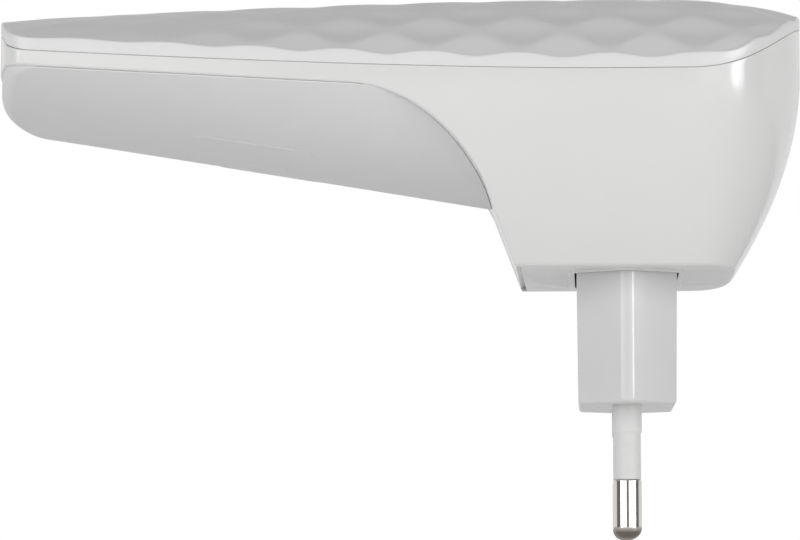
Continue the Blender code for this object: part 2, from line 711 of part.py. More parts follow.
def add_pairing_switch(materials):
    top = MAIN_TOP_Z + SWITCH_HEIGHT
    case = box((PAIR_X - SWITCH_HALF, PAIR_X + SWITCH_HALF), (-SWITCH_HALF, SWITCH_HALF), (MAIN_TOP_Z, top))
    body = place_mesh("pairing_switch", case, materials["dark"])
    well = rod((PAIR_X, 0.0), PLUNGER_RADIUS + GAP, top - SWITCH_WELL, top + PAST)
    combine(body, cutter("pairing_switch_well", well), "DIFFERENCE")
    plunger = rod((PAIR_X, 0.0), PLUNGER_RADIUS, top - SWITCH_WELL + PLUNGER_ROOM, PLUNGER_TOP_Z)
    smooth(place_mesh("pairing_switch_plunger", plunger, materials["tin"], (PAIR_X, 0.0, top)))


def add_reset_switch(materials):
    y = (RESET_Y - RESET_SWITCH_HALF_Y, RESET_Y + RESET_SWITCH_HALF_Y)
    case = box(RESET_SWITCH_X, y, (MAIN_TOP_Z, RESET_Z + RESET_SWITCH_RISE))
    body = place_mesh("reset_switch", case, materials["dark"])
    well_x = (RESET_SWITCH_X[0] - PAST, RESET_SWITCH_X[0] + RESET_WELL)
    well = rod((RESET_Y, RESET_Z), RESET_PLUNGER_RADIUS + GAP, *well_x, "X", 12)
    combine(body, cutter("reset_switch_well", well), "DIFFERENCE")
    plunger = rod((RESET_Y, RESET_Z), RESET_PLUNGER_RADIUS, *RESET_PLUNGER_X, "X", 12)
    origin = (RESET_PLUNGER_X[0], RESET_Y, RESET_Z)
    smooth(place_mesh("reset_button", plunger, materials["tin"], origin))


def add_light_guide(materials, under_arch):
    bar = box(GUIDE_X, (-GUIDE_HALF_Y, GUIDE_HALF_Y), (GUIDE_LOW_Z, GUIDE_HIGH_Z))
    guide = place_mesh("light_guide", bar, materials["clear"])
    for number, x in enumerate(GUIDE_PIPS_X, 1):
        pip = cutter(f"guide_pip_{number}", rod((x, 0.0), PIP_RADIUS, GUIDE_HIGH_Z - JOIN, FAR, steps=12))
        combine(pip, under_arch, "INTERSECT")
        combine(guide, pip, "UNION")
    for name, x in zip(LED_NAMES, GUIDE_PIPS_X):
        lamp_x = (x - LED_HALF_X, x + LED_HALF_X)
        lamp = box(lamp_x, (-LED_HALF_Y, LED_HALF_Y), (MAIN_TOP_Z, MAIN_TOP_Z + LED_HEIGHT))
        place_mesh(name, lamp, materials["lamp"])


# ---------------------------------------------------------------- main board and what it carries


def add_main_board(materials):
    low, high = MAIN_X
    half = MAIN_HALF_WIDTH
    corner_x = low + MAIN_CHAMFER
    corner_y = half - MAIN_CHAMFER
    notch_x = JACK_X[1] + GAP
    notch_y = JACK_HALF_Y + GAP
    outline = [(corner_x, -half), (high, -half), (high, half), (corner_x, half), (low, corner_y)]
    outline += [(low, notch_y), (notch_x, notch_y), (notch_x, -notch_y), (low, -notch_y), (low, -corner_y)]
    board = prism(outline, MAIN_BOARD_Z, MAIN_BOARD_Z + BOARD_THICK)
    board = place_mesh("main_board", board, materials["board"])
    for number, (x, y) in enumerate(SCREW_PLACES, 1):
        hole = rod((x, y), BOARD_HOLE_RADIUS, MAIN_BOARD_Z - PAST, MAIN_BOARD_Z + PAST, steps=10)
        combine(board, cutter(f"board_hole_{number}", hole), "DIFFERENCE")
        tip = MAIN_UNDER_Z - SCREW_LENGTH
        profile = [(0.0, tip), (SCREW_RADIUS, tip), (SCREW_RADIUS, MAIN_TOP_Z)]
        profile += [(radius, MAIN_TOP_Z + rise) for radius, rise in SCREW_HEAD]
        profile.append((0.0, profile[-1][1]))
        screw = turned(profile, 16)
        bmesh.ops.translate(screw, vec=(x, y, 0.0), verts=screw.verts)
        smooth(place_mesh(f"board_screw_{number}", screw, materials["tin"]))


def add_ethernet_jack(materials):
    outer = box(JACK_X, (-JACK_HALF_Y, JACK_HALF_Y), JACK_Z)
    jack = place_mesh("ethernet_jack", outer, materials["tin"])
    cavity = prism(mouth_outline(0.0), JACK_X[0] - PAST, JACK_X[0] + JACK_DEPTH, "X")
    combine(jack, cutter("jack_cavity", cavity), "DIFFERENCE")
    comb_x = (JACK_X[0] + COMB_START, JACK_X[0] + JACK_DEPTH - GAP)
    comb_top = JACK_MOUTH_Z[1] - GAP
    comb = box(comb_x, (-COMB_HALF_Y, COMB_HALF_Y), (comb_top - COMB_THICK, comb_top))
    place_mesh("jack_contact_comb", comb, materials["copper"])


def add_board_parts(materials):
    """Boxed components on both faces of the main board: name, x, y, height and material."""
    above = (
        ("network_transformer", (-70.8, -65.4), (-6.0, 6.0), 4.0, "chip"),
        ("shield_can_low_band", (-50.0, -38.0), (6.0, 19.0), 1.8, "tin"),
        ("shield_can_high_band", (-50.0, -38.0), (-19.0, -6.0), 1.8, "tin"),
        ("clock_crystal", (-32.0, -27.0), (7.0, 10.2), 1.2, "tin"),
    )
    below = (
        ("processor", (-42.0, -29.0), (-6.5, 6.5), PROCESSOR_HEIGHT, "chip"),
        ("memory_chip", (-25.0, -16.0), (-5.0, 5.0), 1.1, "chip"),
        ("flash_chip", (-52.0, -46.5), (-2.5, 2.5), 1.6, "chip"),
    )
    for name, x, y, tall, material in above:
        place_mesh(name, box(x, y, (MAIN_TOP_Z, MAIN_TOP_Z + tall)), materials[material])
    for name, x, y, tall, material in below:
        place_mesh(name, box(x, y, (MAIN_UNDER_Z - tall, MAIN_UNDER_Z)), materials[material])
    spreader_z = MAIN_UNDER_Z - PROCESSOR_HEIGHT - GAP
    plate = box((-46.0, -26.0), (-9.0, 9.0), (spreader_z - SPREADER_THICK, spreader_z))
    place_mesh("heat_spreader", plate, materials["aluminium"])


def antenna_outline(x, low):
    """An inverted-F antenna: a long arm above the board on a ground leg and a feed leg."""
    top = low + ANTENNA_HEIGHT
    arm = top - ANTENNA_ARM
    feed = x[0] + ANTENNA_FEED
    ground_leg = [(x[0], low), (x[0] + ANTENNA_STRIP, low), (x[0] + ANTENNA_STRIP, arm)]
    feed_leg = [(feed, arm), (feed, low), (feed + ANTENNA_STRIP, low), (feed + ANTENNA_STRIP, arm)]
    return [*ground_leg, *feed_leg, (x[1], arm), (x[1], top), (x[0], top)]


def add_antennas(materials):
    places = (
        ("antenna_near", (-80.0, -56.0), -19.8),
        ("antenna_far", (-80.0, -56.0), 19.4),
        ("antenna_middle", (-12.0, 10.0), 15.0),
    )
    for name, x, y in places:
        strip = prism(antenna_outline(x, MAIN_TOP_Z), y, y + ANTENNA_THICK, "Y")
        place_mesh(name, strip, materials["copper"])


# ---------------------------------------------------------------- power board and what it carries


def add_power_board(materials):
    z = (POWER_BOARD_Z, POWER_BOARD_Z + BOARD_THICK)
    board = box((-POWER_HALF_X, POWER_HALF_X), (-POWER_HALF_Y, POWER_HALF_Y), z)
    place_mesh("power_board", board, materials["board"])
    low = POWER_TOP_Z
    parts = (
        ("bridge_rectifier", (-12.0, -9.6), (4.0, 10.5), 5.0, "chip"),
        ("power_header", (10.4, 12.4), (-4.0, 4.0), MAIN_UNDER_Z - POWER_TOP_Z, "chip"),
        ("switching_chip", (10.0, 12.6), (6.0, 12.0), 3.6, "chip"),
    )
    for name, x, y, tall, material in parts:
        place_mesh(name, box(x, y, (low, low + tall)), materials[material])
    cans = (
        ("input_capacitor_near", (-6.5, -13.8), 4.0, 14.0, "capacitor"),
        ("input_capacitor_far", (-6.5, 13.8), 4.0, 14.0, "capacitor"),
        ("output_capacitor", (5.5, 13.5), 3.15, 11.0, "capacitor"),
        ("line_choke", (5.8, -13.6), 3.4, 7.5, "ferrite"),
    )
    for name, centre, radius, tall, material in cans:
        smooth(place_mesh(name, rod(centre, radius, low, low + tall), materials[material]))
    fuse = rod(FUSE_PLACE, FUSE_RADIUS, *FUSE_Y, "Y", 12)
    smooth(place_mesh("fuse_resistor", fuse, materials["ceramic"]))
    disc = rod(DISC_PLACE, DISC_RADIUS, *DISC_X, "X")
    smooth(place_mesh("safety_capacitor", disc, materials["ceramic"]))


def add_transformer(materials):
    low, high = POWER_TOP_Z, POWER_TOP_Z + CORE_HEIGHT
    frame = box((-CORE_HALF_X, CORE_HALF_X), (-CORE_HALF_Y, CORE_HALF_Y), (low, high))
    core = place_mesh("transformer_core", frame, materials["ferrite"])
    inner, outer = CORE_WINDOW
    for name, x in (("core_window_left", (-outer, -inner)), ("core_window_right", (inner, outer))):
        window = box(x, ALL_Y, (low + CORE_YOKE, high - CORE_YOKE))
        combine(core, cutter(name, window), "DIFFERENCE")
    coil_x = outer - GAP
    coil_z = (low + CORE_YOKE + GAP, high - CORE_YOKE - GAP)
    wire = box((-coil_x, coil_x), (-COIL_HALF_Y, COIL_HALF_Y), coil_z)
    coil = place_mesh("transformer_winding", wire, materials["winding"])
    leg = (inner + GAP, CORE_HALF_Y + GAP)
    hole = box((-leg[0], leg[0]), (-leg[1], leg[1]), (low, high))
    combine(coil, cutter("winding_hole", hole), "DIFFERENCE")


def add_insulation_sheet(materials):
    sheet = box(SHEET_X, (-SHEET_HALF_Y, SHEET_HALF_Y), SHEET_Z)
    place_mesh("insulation_sheet", sheet, materials["sheet"])


def build():
    clear_scene()
    materials = make_materials()
    under_arch = cutter("under_arch", below_arch(0.0))
    mouth = socket_cutout()
    pinhole = reset_pinhole()
    add_front_cover(materials, under_arch)
    add_front_housing(materials, mouth, pinhole)
    add_rear_cover(materials, mouth, pinhole)
    add_rating_label(materials)
    add_base_plate(materials)
    add_plug_block(materials)
    add_pins(materials)
    add_pairing_button(materials, under_arch)
    add_pairing_switch(materials)
    add_reset_switch(materials)
    add_light_guide(materials, under_arch)
    add_main_board(materials)
    add_ethernet_jack(materials)
    add_board_parts(materials)
    add_antennas(materials)
    add_power_board(materials)
    add_transformer(materials)
    add_insulation_sheet(materials)


build()
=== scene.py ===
"""Looks for a plug-in wireless range extender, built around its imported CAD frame.

+Z points out of the wall through the dimpled front cover and the pins point to -Z. +X is the thick plug
end and -X the thin end with the network socket. Shapes are worked out in millimetres and stored in metres.
"""

import json
import math

import bmesh
import bpy
import numpy as np
from mathutils import Matrix, Vector


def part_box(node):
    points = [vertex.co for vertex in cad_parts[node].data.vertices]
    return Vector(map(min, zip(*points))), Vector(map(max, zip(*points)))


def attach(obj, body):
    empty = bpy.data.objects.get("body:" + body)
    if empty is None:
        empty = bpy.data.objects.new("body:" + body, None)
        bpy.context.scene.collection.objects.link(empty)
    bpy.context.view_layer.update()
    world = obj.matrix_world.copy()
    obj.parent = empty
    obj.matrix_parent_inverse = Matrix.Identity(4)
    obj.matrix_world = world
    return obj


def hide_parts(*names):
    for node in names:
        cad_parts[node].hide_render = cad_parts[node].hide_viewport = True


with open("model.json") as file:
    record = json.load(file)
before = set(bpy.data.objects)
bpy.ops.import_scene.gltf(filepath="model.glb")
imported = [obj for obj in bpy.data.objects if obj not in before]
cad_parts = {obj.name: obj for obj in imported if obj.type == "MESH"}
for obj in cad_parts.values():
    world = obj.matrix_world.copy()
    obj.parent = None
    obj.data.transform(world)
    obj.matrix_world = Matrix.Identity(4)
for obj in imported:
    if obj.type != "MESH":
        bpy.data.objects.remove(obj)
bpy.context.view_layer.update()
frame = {"nodes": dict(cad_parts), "record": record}

MM = 0.001
SHARP_ANGLE = math.radians(38.0)  # faces that meet at more than this have a sharp edge
ARC_STEPS = 5  # steps of a rounded edge's quarter turn
TURNED_STEPS = 72  # steps round a turned shape


def box_mm(node):
    low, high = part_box(node)
    return np.array(low) / MM, np.array(high) / MM


# Casing, from the frame
HOUSING_LOW, HOUSING_HIGH = box_mm("front_housing")
THIN_END_X = HOUSING_LOW[0]
THICK_END_X = HOUSING_HIGH[0]
HALF_WIDTH = HOUSING_HIGH[1]
BASE_Z = HOUSING_LOW[2]
PIN_LOW = box_mm("line_pin")[0]
JACK_LOW, JACK_HIGH = box_mm("ethernet_jack")
BUTTON_LOW, BUTTON_HIGH = box_mm("pairing_button")
LABEL_LOW, LABEL_HIGH = box_mm("rating_label")

# Casing shape, as in the CAD model apart from BACK_SIDE_Z, which closes the joint
THIN_END_BOW = 5.0
CORNER_RADIUS = 2.5
NOSE_START_X = 8.0
NOSE_POWER = 2.55
NOSE_POWER_GAIN = 0.7
RIM_Z = 47.0
TAPER_POWER = 1.9
SIDE_TAPER = 10.6
NOSE_TAPER = 9.7
THIN_END_TAPER = 0.6
CREST_Z = 58.75
CREST_X = -4.0
CREST_CURVE = 0.00042
NOSE_FALL = 2.9
NOSE_FALL_POWER = 3.2
THIN_FALL = 0.3
THIN_FALL_X = -80.0
SIDE_EDGE_Z = 46.76
SIDE_EDGE_CURVE = 0.00447
SIDE_EDGE_POWER = 1.5
ARCH_POWER = 2.3
COVER_BAND = 1.9
GAP = 0.3
WALL = 1.6
STRIP_START = (-95.0, 46.6)
SWEEP_START = (-38.0, 43.15)
SWEEP_CONTROL_A = (-30.5, 42.7)
SWEEP_CONTROL_B = (-23.6, 37.6)
SWEEP_END = (-19.8, 30.2)
LEG_FOOT = (-15.2, 18.0)
BACK_Z = 29.75
BACK_X = -20.8
BACK_SLOPE = 0.171
BACK_ARCH_POWER = 3.0
BACK_SIDE_Z = 42.95
BACK_SIDE_SLOPE = 0.0605
REAR_STEP = 0.5
REAR_INNER_INSET = 2.9
REAR_FLOOR = 1.8
SEAM = 0.03  # open joint between the housing's edge and the rear cover
END_EDGE_RADIUS = 1.8  # the rear cover's edge under the thin end

# Dimples of the front cover: a diamond lattice of shallow bowls
DIMPLE_PITCH_X = 12.1
DIMPLE_CENTRE_X = 3.4
DIMPLE_ROWS = 6  # from the middle out to the side edge
DIMPLE_DEPTH = 0.62
RIDGE_SOFTNESS = 0.18
DIMPLE_FADE = 0.35  # share of the depth that is left at the thin end
DIMPLE_FADE_X = (-72.0, -34.0)

# Plug, as in the CAD model
SHOULDER_Y = 13.05
PIN_PITCH_HALF = 9.3
PIN_CONVERGE = math.radians(1.66)
PIN_RADIUS = 2.0
SLEEVE_END_Z = -10.6
SLEEVE_RADIUS = 1.9
COLLAR_RADIUS = 2.05
COLLAR_END_Z = -3.9
SLEEVE_SEAT = 1.5

# Network socket and reset pinhole, as in the CAD model
MOUTH_HALF_Y = 6.2
MOUTH_Z = (45.9, 52.9)
LATCH_HALF_Y = 3.4
LATCH_Z = 44.8
PINHOLE_Y = 14.0
PINHOLE_Z = 51.0
PINHOLE_RADIUS = 0.9
PIPS_X = (-36.0, -30.0, -24.0, -18.0)
PIP_HOLE_RADIUS = 1.1


# ---------------------------------------------------------------- mesh helpers


def make_object(name, points, faces):
    """A mesh object from points in millimetres."""
    mesh = bpy.data.meshes.new(name)
    mesh.from_pydata([tuple(p) for p in np.asarray(points, float) * MM], [], faces)
    mesh.validate()
    bm = bmesh.new()
    bm.from_mesh(mesh)
    bmesh.ops.recalc_face_normals(bm, faces=bm.faces)
    bm.to_mesh(mesh)
    bm.free()
    obj = bpy.data.objects.new(name, mesh)
    bpy.context.scene.collection.objects.link(obj)
    mesh.shade_smooth()
    mesh.set_sharp_from_angle(angle=SHARP_ANGLE)
    return obj


class Build:
    """Collects points and faces of one mesh."""

    def __init__(self):
        self.points = []
        self.faces = []

    def add_points(self, points):
        start = len(self.points)
        self.points.extend(np.asarray(points, float).reshape(-1, 3))
        return start

    def grid(self, sheet, close_across=False):
        """Quads over a sheet of points with shape (rows, columns, 3)."""
        rows, columns = sheet.shape[:2]
        start = self.add_points(sheet)
        wrap = columns if close_across else columns - 1
        for i in range(rows - 1):
            for j in range(wrap):
                after = (j + 1) % columns
                a, b = start + i * columns, start + (i + 1) * columns
                self.faces.append((a + j, a + after, b + after, b + j))
        return start

    def cap(self, indices):
        self.faces.append(tuple(indices))

    def bridge(self, first, second):
        """Quads between two closed loops of point indices."""
        count = len(first)
        for i in range(count):
            after = (i + 1) % count
            self.faces.append((first[i], first[after], second[after], second[i]))

    def make(self, name):
        return make_object(name, self.points, self.faces)


def sheet_border(start, rows, columns):
    """Point indices round the border of a sheet made by Build.grid."""
    first = [start + j for j in range(columns)]
    right = [start + i * columns + columns - 1 for i in range(1, rows)]
    last = [start + (rows - 1) * columns + j for j in range(columns - 2, -1, -1)]
    left = [start + i * columns for i in range(rows - 2, 0, -1)]
    return first + right + last + left


def tube_of_rings(name, rings):
    """A closed body through loops of equal length, with a flat cap at each end."""
    build = Build()
    sheet = np.array(rings, float)
    rows, columns = sheet.shape[:2]
    start = build.grid(sheet, close_across=True)
    build.cap(range(start, start + columns))
    build.cap(range(start + (rows - 1) * columns, start + rows * columns))
    return build.make(name)


def rounded_polygon(corners, radii, steps=5):
    """A closed plan outline whose corners are arcs of the given radii."""
    count = len(corners)
    points = []
    for i, corner in enumerate(corners):
        here = np.array(corner, float)
        before = np.array(corners[i - 1], float) - here
        after = np.array(corners[(i + 1) % count], float) - here
        before /= np.linalg.norm(before)
        after /= np.linalg.norm(after)
        half = math.acos(np.clip(np.dot(before, after), -1.0, 1.0)) / 2.0
        radius = radii[i]
        centre = here + (before + after) / np.linalg.norm(before + after) * radius / math.sin(half)
        begin = here + before * radius / math.tan(half) - centre
        end = here + after * radius / math.tan(half) - centre
        first = math.atan2(begin[1], begin[0])
        turn = (math.atan2(end[1], end[0]) - first + math.pi) % (2.0 * math.pi) - math.pi
        for k in range(steps + 1):
            angle = first + turn * k / steps
            points.append(centre + radius * np.array([math.cos(angle), math.sin(angle)]))
    return np.array(points)


def offset_loop(loop, distance):
    """A closed plan loop moved outwards by distance along its own normals."""
    ahead = np.roll(loop, -1, axis=0) - np.roll(loop, 1, axis=0)
    normal = np.stack([ahead[:, 1], -ahead[:, 0]], axis=1)
    normal /= np.maximum(np.linalg.norm(normal, axis=1, keepdims=True), 1e-9)
    area = np.sum(loop[:, 0] * np.roll(loop[:, 1], -1) - loop[:, 1] * np.roll(loop[:, 0], -1))
    return loop + normal * distance * math.copysign(1.0, area)


def level(loop, z):
    return np.column_stack([loop, np.full(len(loop), z)])


def quarter_turn(first=0, last=ARC_STEPS):
    """Angles of a quarter turn's steps, from number first up to number last."""
    return [math.pi / 2.0 * k / ARC_STEPS for k in range(first, last + 1)]


def rounded_slab(name, loop, low, high, radius, steps=4):
    """A plate with the plan loop and rounded upper and lower edges."""
    rings = []
    for end, way in ((low, 1.0), (high, -1.0)):
        part = []
        for k in range(steps + 1):
            angle = math.pi / 2.0 * k / steps
            inward = radius * (1.0 - math.sin(angle))
            rise = radius * (1.0 - math.cos(angle))
            part.append(level(offset_loop(loop, -inward), end + way * rise))
        rings += part if way > 0 else part[::-1]
    return tube_of_rings(name, rings)


def turned(name, profile):
    """A solid of revolution about Z from (radius, z) points, listed from end to end of the axis."""
    turns = np.linspace(0.0, 2.0 * math.pi, TURNED_STEPS, endpoint=False)
    rings = [[(r * math.cos(a), r * math.sin(a), z) for a in turns] for r, z in profile]
    return tube_of_rings(name, rings)


def ellipse(centre, half_x, half_y, steps=64):
    turns = np.linspace(0.0, 2.0 * math.pi, steps, endpoint=False)
    return np.column_stack([centre[0] + half_x * np.cos(turns), centre[1] + half_y * np.sin(turns)])


def cut(obj, *tools):
    """Cuts closed tools out of obj, applies the cut and removes the tools."""
    for tool in tools:
        modifier = obj.modifiers.new("cut", "BOOLEAN")
        modifier.operation = "DIFFERENCE"
        modifier.solver = "EXACT"
        modifier.object = tool
    graph = bpy.context.evaluated_depsgraph_get()
    mesh = bpy.data.meshes.new_from_object(obj.evaluated_get(graph))
    obj.modifiers.clear()
    obj.data = mesh
    for tool in tools:
        bpy.data.objects.remove(tool, do_unlink=True)
    mesh.shade_smooth()
    mesh.set_sharp_from_angle(angle=SHARP_ANGLE)
    return obj


def prism_along_x(name, outline, low, high):
    """A cutter: an outline in the YZ plane stretched along X."""
    rings = [[(x, y, z) for y, z in outline] for x in (low, high)]
    return tube_of_rings(name, rings)


# ---------------------------------------------------------------- casing surfaces


def taper_at(z):
    return (np.maximum(0.0, RIM_Z - z) / (RIM_Z - BASE_Z)) ** TAPER_POWER


def width_at(z):
    return HALF_WIDTH - SIDE_TAPER * taper_at(z)


def left_edge(y, width, left):
    """The thin end's bowed edge and its rounded corners, as x at each y."""
    bow = left + THIN_END_BOW * (np.abs(y) / width) ** 2
    into = np.clip(np.abs(y) - (width - CORNER_RADIUS), 0.0, CORNER_RADIUS)
    return bow + CORNER_RADIUS - np.sqrt(CORNER_RADIUS**2 - into**2)


def right_edge(y, width, right, power):
    """The rounded thick end, as x at each y."""
    share = np.clip(1.0 - (np.abs(y) / width) ** power, 0.0, 1.0) ** (1.0 / power)
    return NOSE_START_X + (right - NOSE_START_X) * share


def crest_at(x):
    fall = NOSE_FALL * (np.maximum(0.0, x) / THICK_END_X) ** NOSE_FALL_POWER
    fall = fall + THIN_FALL * (np.maximum(0.0, THIN_FALL_X - x) / (THIN_FALL_X - THIN_END_X)) ** 2
    return CREST_Z - CREST_CURVE * (x - CREST_X) ** 2 - fall


def dome_at(x, y):
    edge = SIDE_EDGE_Z + SIDE_EDGE_CURVE * np.maximum(0.0, CREST_X - x) ** SIDE_EDGE_POWER
    return crest_at(x) - (crest_at(x) - edge) * (np.abs(y) / HALF_WIDTH) ** ARCH_POWER


def back_at(x, y):
    middle = BACK_Z + (BACK_X - x) * BACK_SLOPE
    side = BACK_SIDE_Z + (SWEEP_START[0] - x) * BACK_SIDE_SLOPE
    return middle + (side - middle) * (np.abs(y) / (HALF_WIDTH - REAR_STEP)) ** BACK_ARCH_POWER


def dimple_at(x, y):
    """Depth of the cover's dimples, with soft ridges where neighbouring bowls meet."""
    row = HALF_WIDTH / DIMPLE_ROWS
    along = (x - DIMPLE_CENTRE_X) / DIMPLE_PITCH_X
    across = y / (2.0 * row)
    first = np.abs(np.cos(math.pi * (along + across)))
    second = np.abs(np.cos(math.pi * (along - across)))
    soft = math.sqrt(1.0 + RIDGE_SOFTNESS**2) - RIDGE_SOFTNESS
    first = (np.sqrt(first**2 + RIDGE_SOFTNESS**2) - RIDGE_SOFTNESS) / soft
    second = (np.sqrt(second**2 + RIDGE_SOFTNESS**2) - RIDGE_SOFTNESS) / soft
    rise = np.clip((x - DIMPLE_FADE_X[0]) / (DIMPLE_FADE_X[1] - DIMPLE_FADE_X[0]), 0.0, 1.0)
    fade = DIMPLE_FADE + (1.0 - DIMPLE_FADE) * rise * rise * (3.0 - 2.0 * rise)
    return DIMPLE_DEPTH * fade * first * second


def sweep_points(steps):
    """The swept edge between the strip and the plug leg, as x and z."""
    t = np.linspace(0.0, 1.0, steps)[:, None]
    corners = [np.array(p) for p in (SWEEP_START, SWEEP_CONTROL_A, SWEEP_CONTROL_B, SWEEP_END)]
    shares = ((1 - t) ** 3, 3 * t * (1 - t) ** 2, 3 * t * t * (1 - t), t**3)
    return sum(s * p for s, p in zip(shares, corners))


def edge_line():
    """The housing's whole lower edge as x and z, from the thin end to the leg's foot."""
    foot = np.linspace(0.0, 1.0, 13)[1:, None]
    leg = np.array(SWEEP_END) + (np.array(LEG_FOOT) - np.array(SWEEP_END)) * foot
    strip = np.linspace(0.0, 1.0, 30)[:-1, None]
    strip = np.array(STRIP_START) + (np.array(SWEEP_START) - np.array(STRIP_START)) * strip
    return np.concatenate([strip, sweep_points(61), leg])


EDGE = edge_line()


def edge_z(x):
    return np.maximum(BASE_Z, np.interp(x, EDGE[:, 0], EDGE[:, 1], right=BASE_Z))


def border_normals(border):
    """Outward plan normals of a closed border of 3-D points."""
    plan = border[:, :2]
    moved = offset_loop(plan, 1.0)
    return moved - plan


# ---------------------------------------------------------------- front cover


COVER_ROWS = 151
COVER_COLUMNS = 271
COVER_EDGE_RADIUS = 0.4
COVER_CROWDING = 0.35  # how strongly the columns crowd towards both ends
PARTING_GAP = 0.02
PARTING_EDGE = ((0.15, 0.0), (0.04, 0.04), (0.0, 0.15))  # height over the joint, and inset
CUT_Z = (40.0, 70.0)  # the reach of the cutters that go through the cover


def cover_sheet(inset):
    """Plan points that fill the cover's outline, denser towards both sides and both ends."""
    width = HALF_WIDTH - inset
    y = width * np.sin(np.linspace(-math.pi / 2.0, math.pi / 2.0, COVER_ROWS))
    left = left_edge(y, width, THIN_END_X + inset)
    right = right_edge(y, width, THICK_END_X - inset, NOSE_POWER)
    u = np.linspace(0.0, 1.0, COVER_COLUMNS)
    u = u - COVER_CROWDING * np.sin(2.0 * math.pi * u) / (2.0 * math.pi)
    x = left[:, None] + (right - left)[:, None] * u[None, :]
    return x, np.repeat(y[:, None], COVER_COLUMNS, axis=1)


def make_front_cover():
    build = Build()
    radius = COVER_EDGE_RADIUS
    x, y = cover_sheet(radius)
    top = build.grid(np.stack([x, y, dome_at(x, y) - dimple_at(x, y)], axis=-1))
    border = sheet_border(top, COVER_ROWS, COVER_COLUMNS)
    ring = np.array([build.points[i] for i in border])
    outward = border_normals(ring)
    loops = [border]
    for angle in quarter_turn(1):
        moved = ring.copy()
        moved[:, :2] += outward * radius * math.sin(angle)
        moved[:, 2] -= radius * (1.0 - math.cos(angle))
        start = build.add_points(moved)
        loops.append(list(range(start, start + len(border))))
    side = moved.copy()
    parting = dome_at(side[:, 0], side[:, 1]) - COVER_BAND + PARTING_GAP
    for lift, inward in PARTING_EDGE:
        lower = side.copy()
        lower[:, 2] = parting + lift
        lower[:, :2] -= outward * inward
        start = build.add_points(lower)
        loops.append(list(range(start, start + len(border))))
    x, y = cover_sheet(WALL)
    under = build.grid(np.stack([x, y, dome_at(x, y) - COVER_BAND + PARTING_GAP], axis=-1))
    loops.append(sheet_border(under, COVER_ROWS, COVER_COLUMNS))
    for first, second in zip(loops, loops[1:]):
        build.bridge(first, second)
    cover = build.make("dimpled_front_cover")
    button_hole = ellipse(BUTTON_CENTRE, BUTTON_HALF[0] + GAP, BUTTON_HALF[1] + GAP)
    tools = [tube_of_rings("button_hole", [level(button_hole, z) for z in CUT_Z])]
    for pip_x in PIPS_X:
        hole = ellipse((pip_x, 0.0), PIP_HOLE_RADIUS, PIP_HOLE_RADIUS, 32)
        tools.append(tube_of_rings("pip_hole", [level(hole, z) for z in CUT_Z]))
    return cut(cover, *tools)


# ---------------------------------------------------------------- glossy housing


NOSE_SAMPLES = 97
BOW_SAMPLES = 61
CORNER_SAMPLES = 13
WALL_LEVELS = 49
INNER_LEVELS = 9
HOUSING_EDGE_RADIUS = 0.16
HOUSING_LOWER_RADIUS = 0.4
LEG_STATION_X = -15.4  # the last side station before the swept edge's own
CORNER_REACH = 0.94  # share of the thin end's corner arc that has its own samples
END_WALL_COLUMNS = 41
END_WALL_INSET = 0.8  # from the casing's sides
END_WALL_SHEETS = ((0.05, 0.02), (1.1, 0.7))  # x and z from the swept edge: outer and inner face
THIN_CUT_X = (THIN_END_X - 3.0, THIN_END_X + 6.0)


def side_stations():
    """X stations along one side, from the nose to the thin end's corner, dense along the swept edge."""
    body = np.linspace(NOSE_START_X, LEG_STATION_X, 14)[1:]
    edge = EDGE[EDGE[:, 0] > SWEEP_START[0]][::-1, 0]
    edge = edge[edge < LEG_STATION_X]
    strip = np.linspace(SWEEP_START[0], THIN_END_X + THIN_END_BOW + CORNER_RADIUS + 0.4, 26)
    return np.concatenate([body, edge, strip])


STATIONS = side_stations()


def housing_loop(z, inset):
    """The casing's plan outline with each sample at its own height z, drawn in by inset."""
    taper = taper_at(z)
    width = HALF_WIDTH - SIDE_TAPER * taper - inset
    left = THIN_END_X + THIN_END_TAPER * taper + inset
    right = THICK_END_X - NOSE_TAPER * taper - inset
    power = NOSE_POWER + NOSE_POWER_GAIN * taper
    parts = np.split(np.arange(len(z)), np.cumsum(LOOP_PARTS)[:-1])
    x = np.zeros(len(z))
    y = np.zeros(len(z))
    nose, far, far_corner, bow, near_corner, near = parts
    angle = np.linspace(-math.pi / 2.0, math.pi / 2.0, NOSE_SAMPLES)
    out = np.maximum(np.cos(angle), 0.0) ** (2.0 / power[nose])
    x[nose] = NOSE_START_X + (right[nose] - NOSE_START_X) * out
    y[nose] = width[nose] * np.sign(angle) * np.abs(np.sin(angle)) ** (2.0 / power[nose])
    x[far] = STATIONS
    y[far] = width[far]
    x[near] = STATIONS[::-1]
    y[near] = -width[near]
    turn = np.linspace(0.0, CORNER_REACH * math.pi / 2.0, CORNER_SAMPLES)
    for part, way, order in ((far_corner, 1.0, turn), (near_corner, -1.0, turn[::-1])):
        y[part] = way * (width[part] - CORNER_RADIUS * (1.0 - np.cos(order)))
        x[part] = corner_x(y[part], order, width[part], left[part])
    share = np.linspace(1.0, -1.0, BOW_SAMPLES + 2)[1:-1]
    reach = width[bow] - CORNER_RADIUS * (1.0 - math.cos(turn[-1]))
    y[bow] = reach * share
    x[bow] = left_edge(y[bow], width[bow], left[bow])
    return x, y


def corner_x(y, turn, width, left):
    bow = left + THIN_END_BOW * (np.abs(y) / width) ** 2
    return bow + CORNER_RADIUS * (1.0 - np.sin(turn))


LOOP_PARTS = (NOSE_SAMPLES, len(STATIONS), CORNER_SAMPLES, BOW_SAMPLES, CORNER_SAMPLES, len(STATIONS))


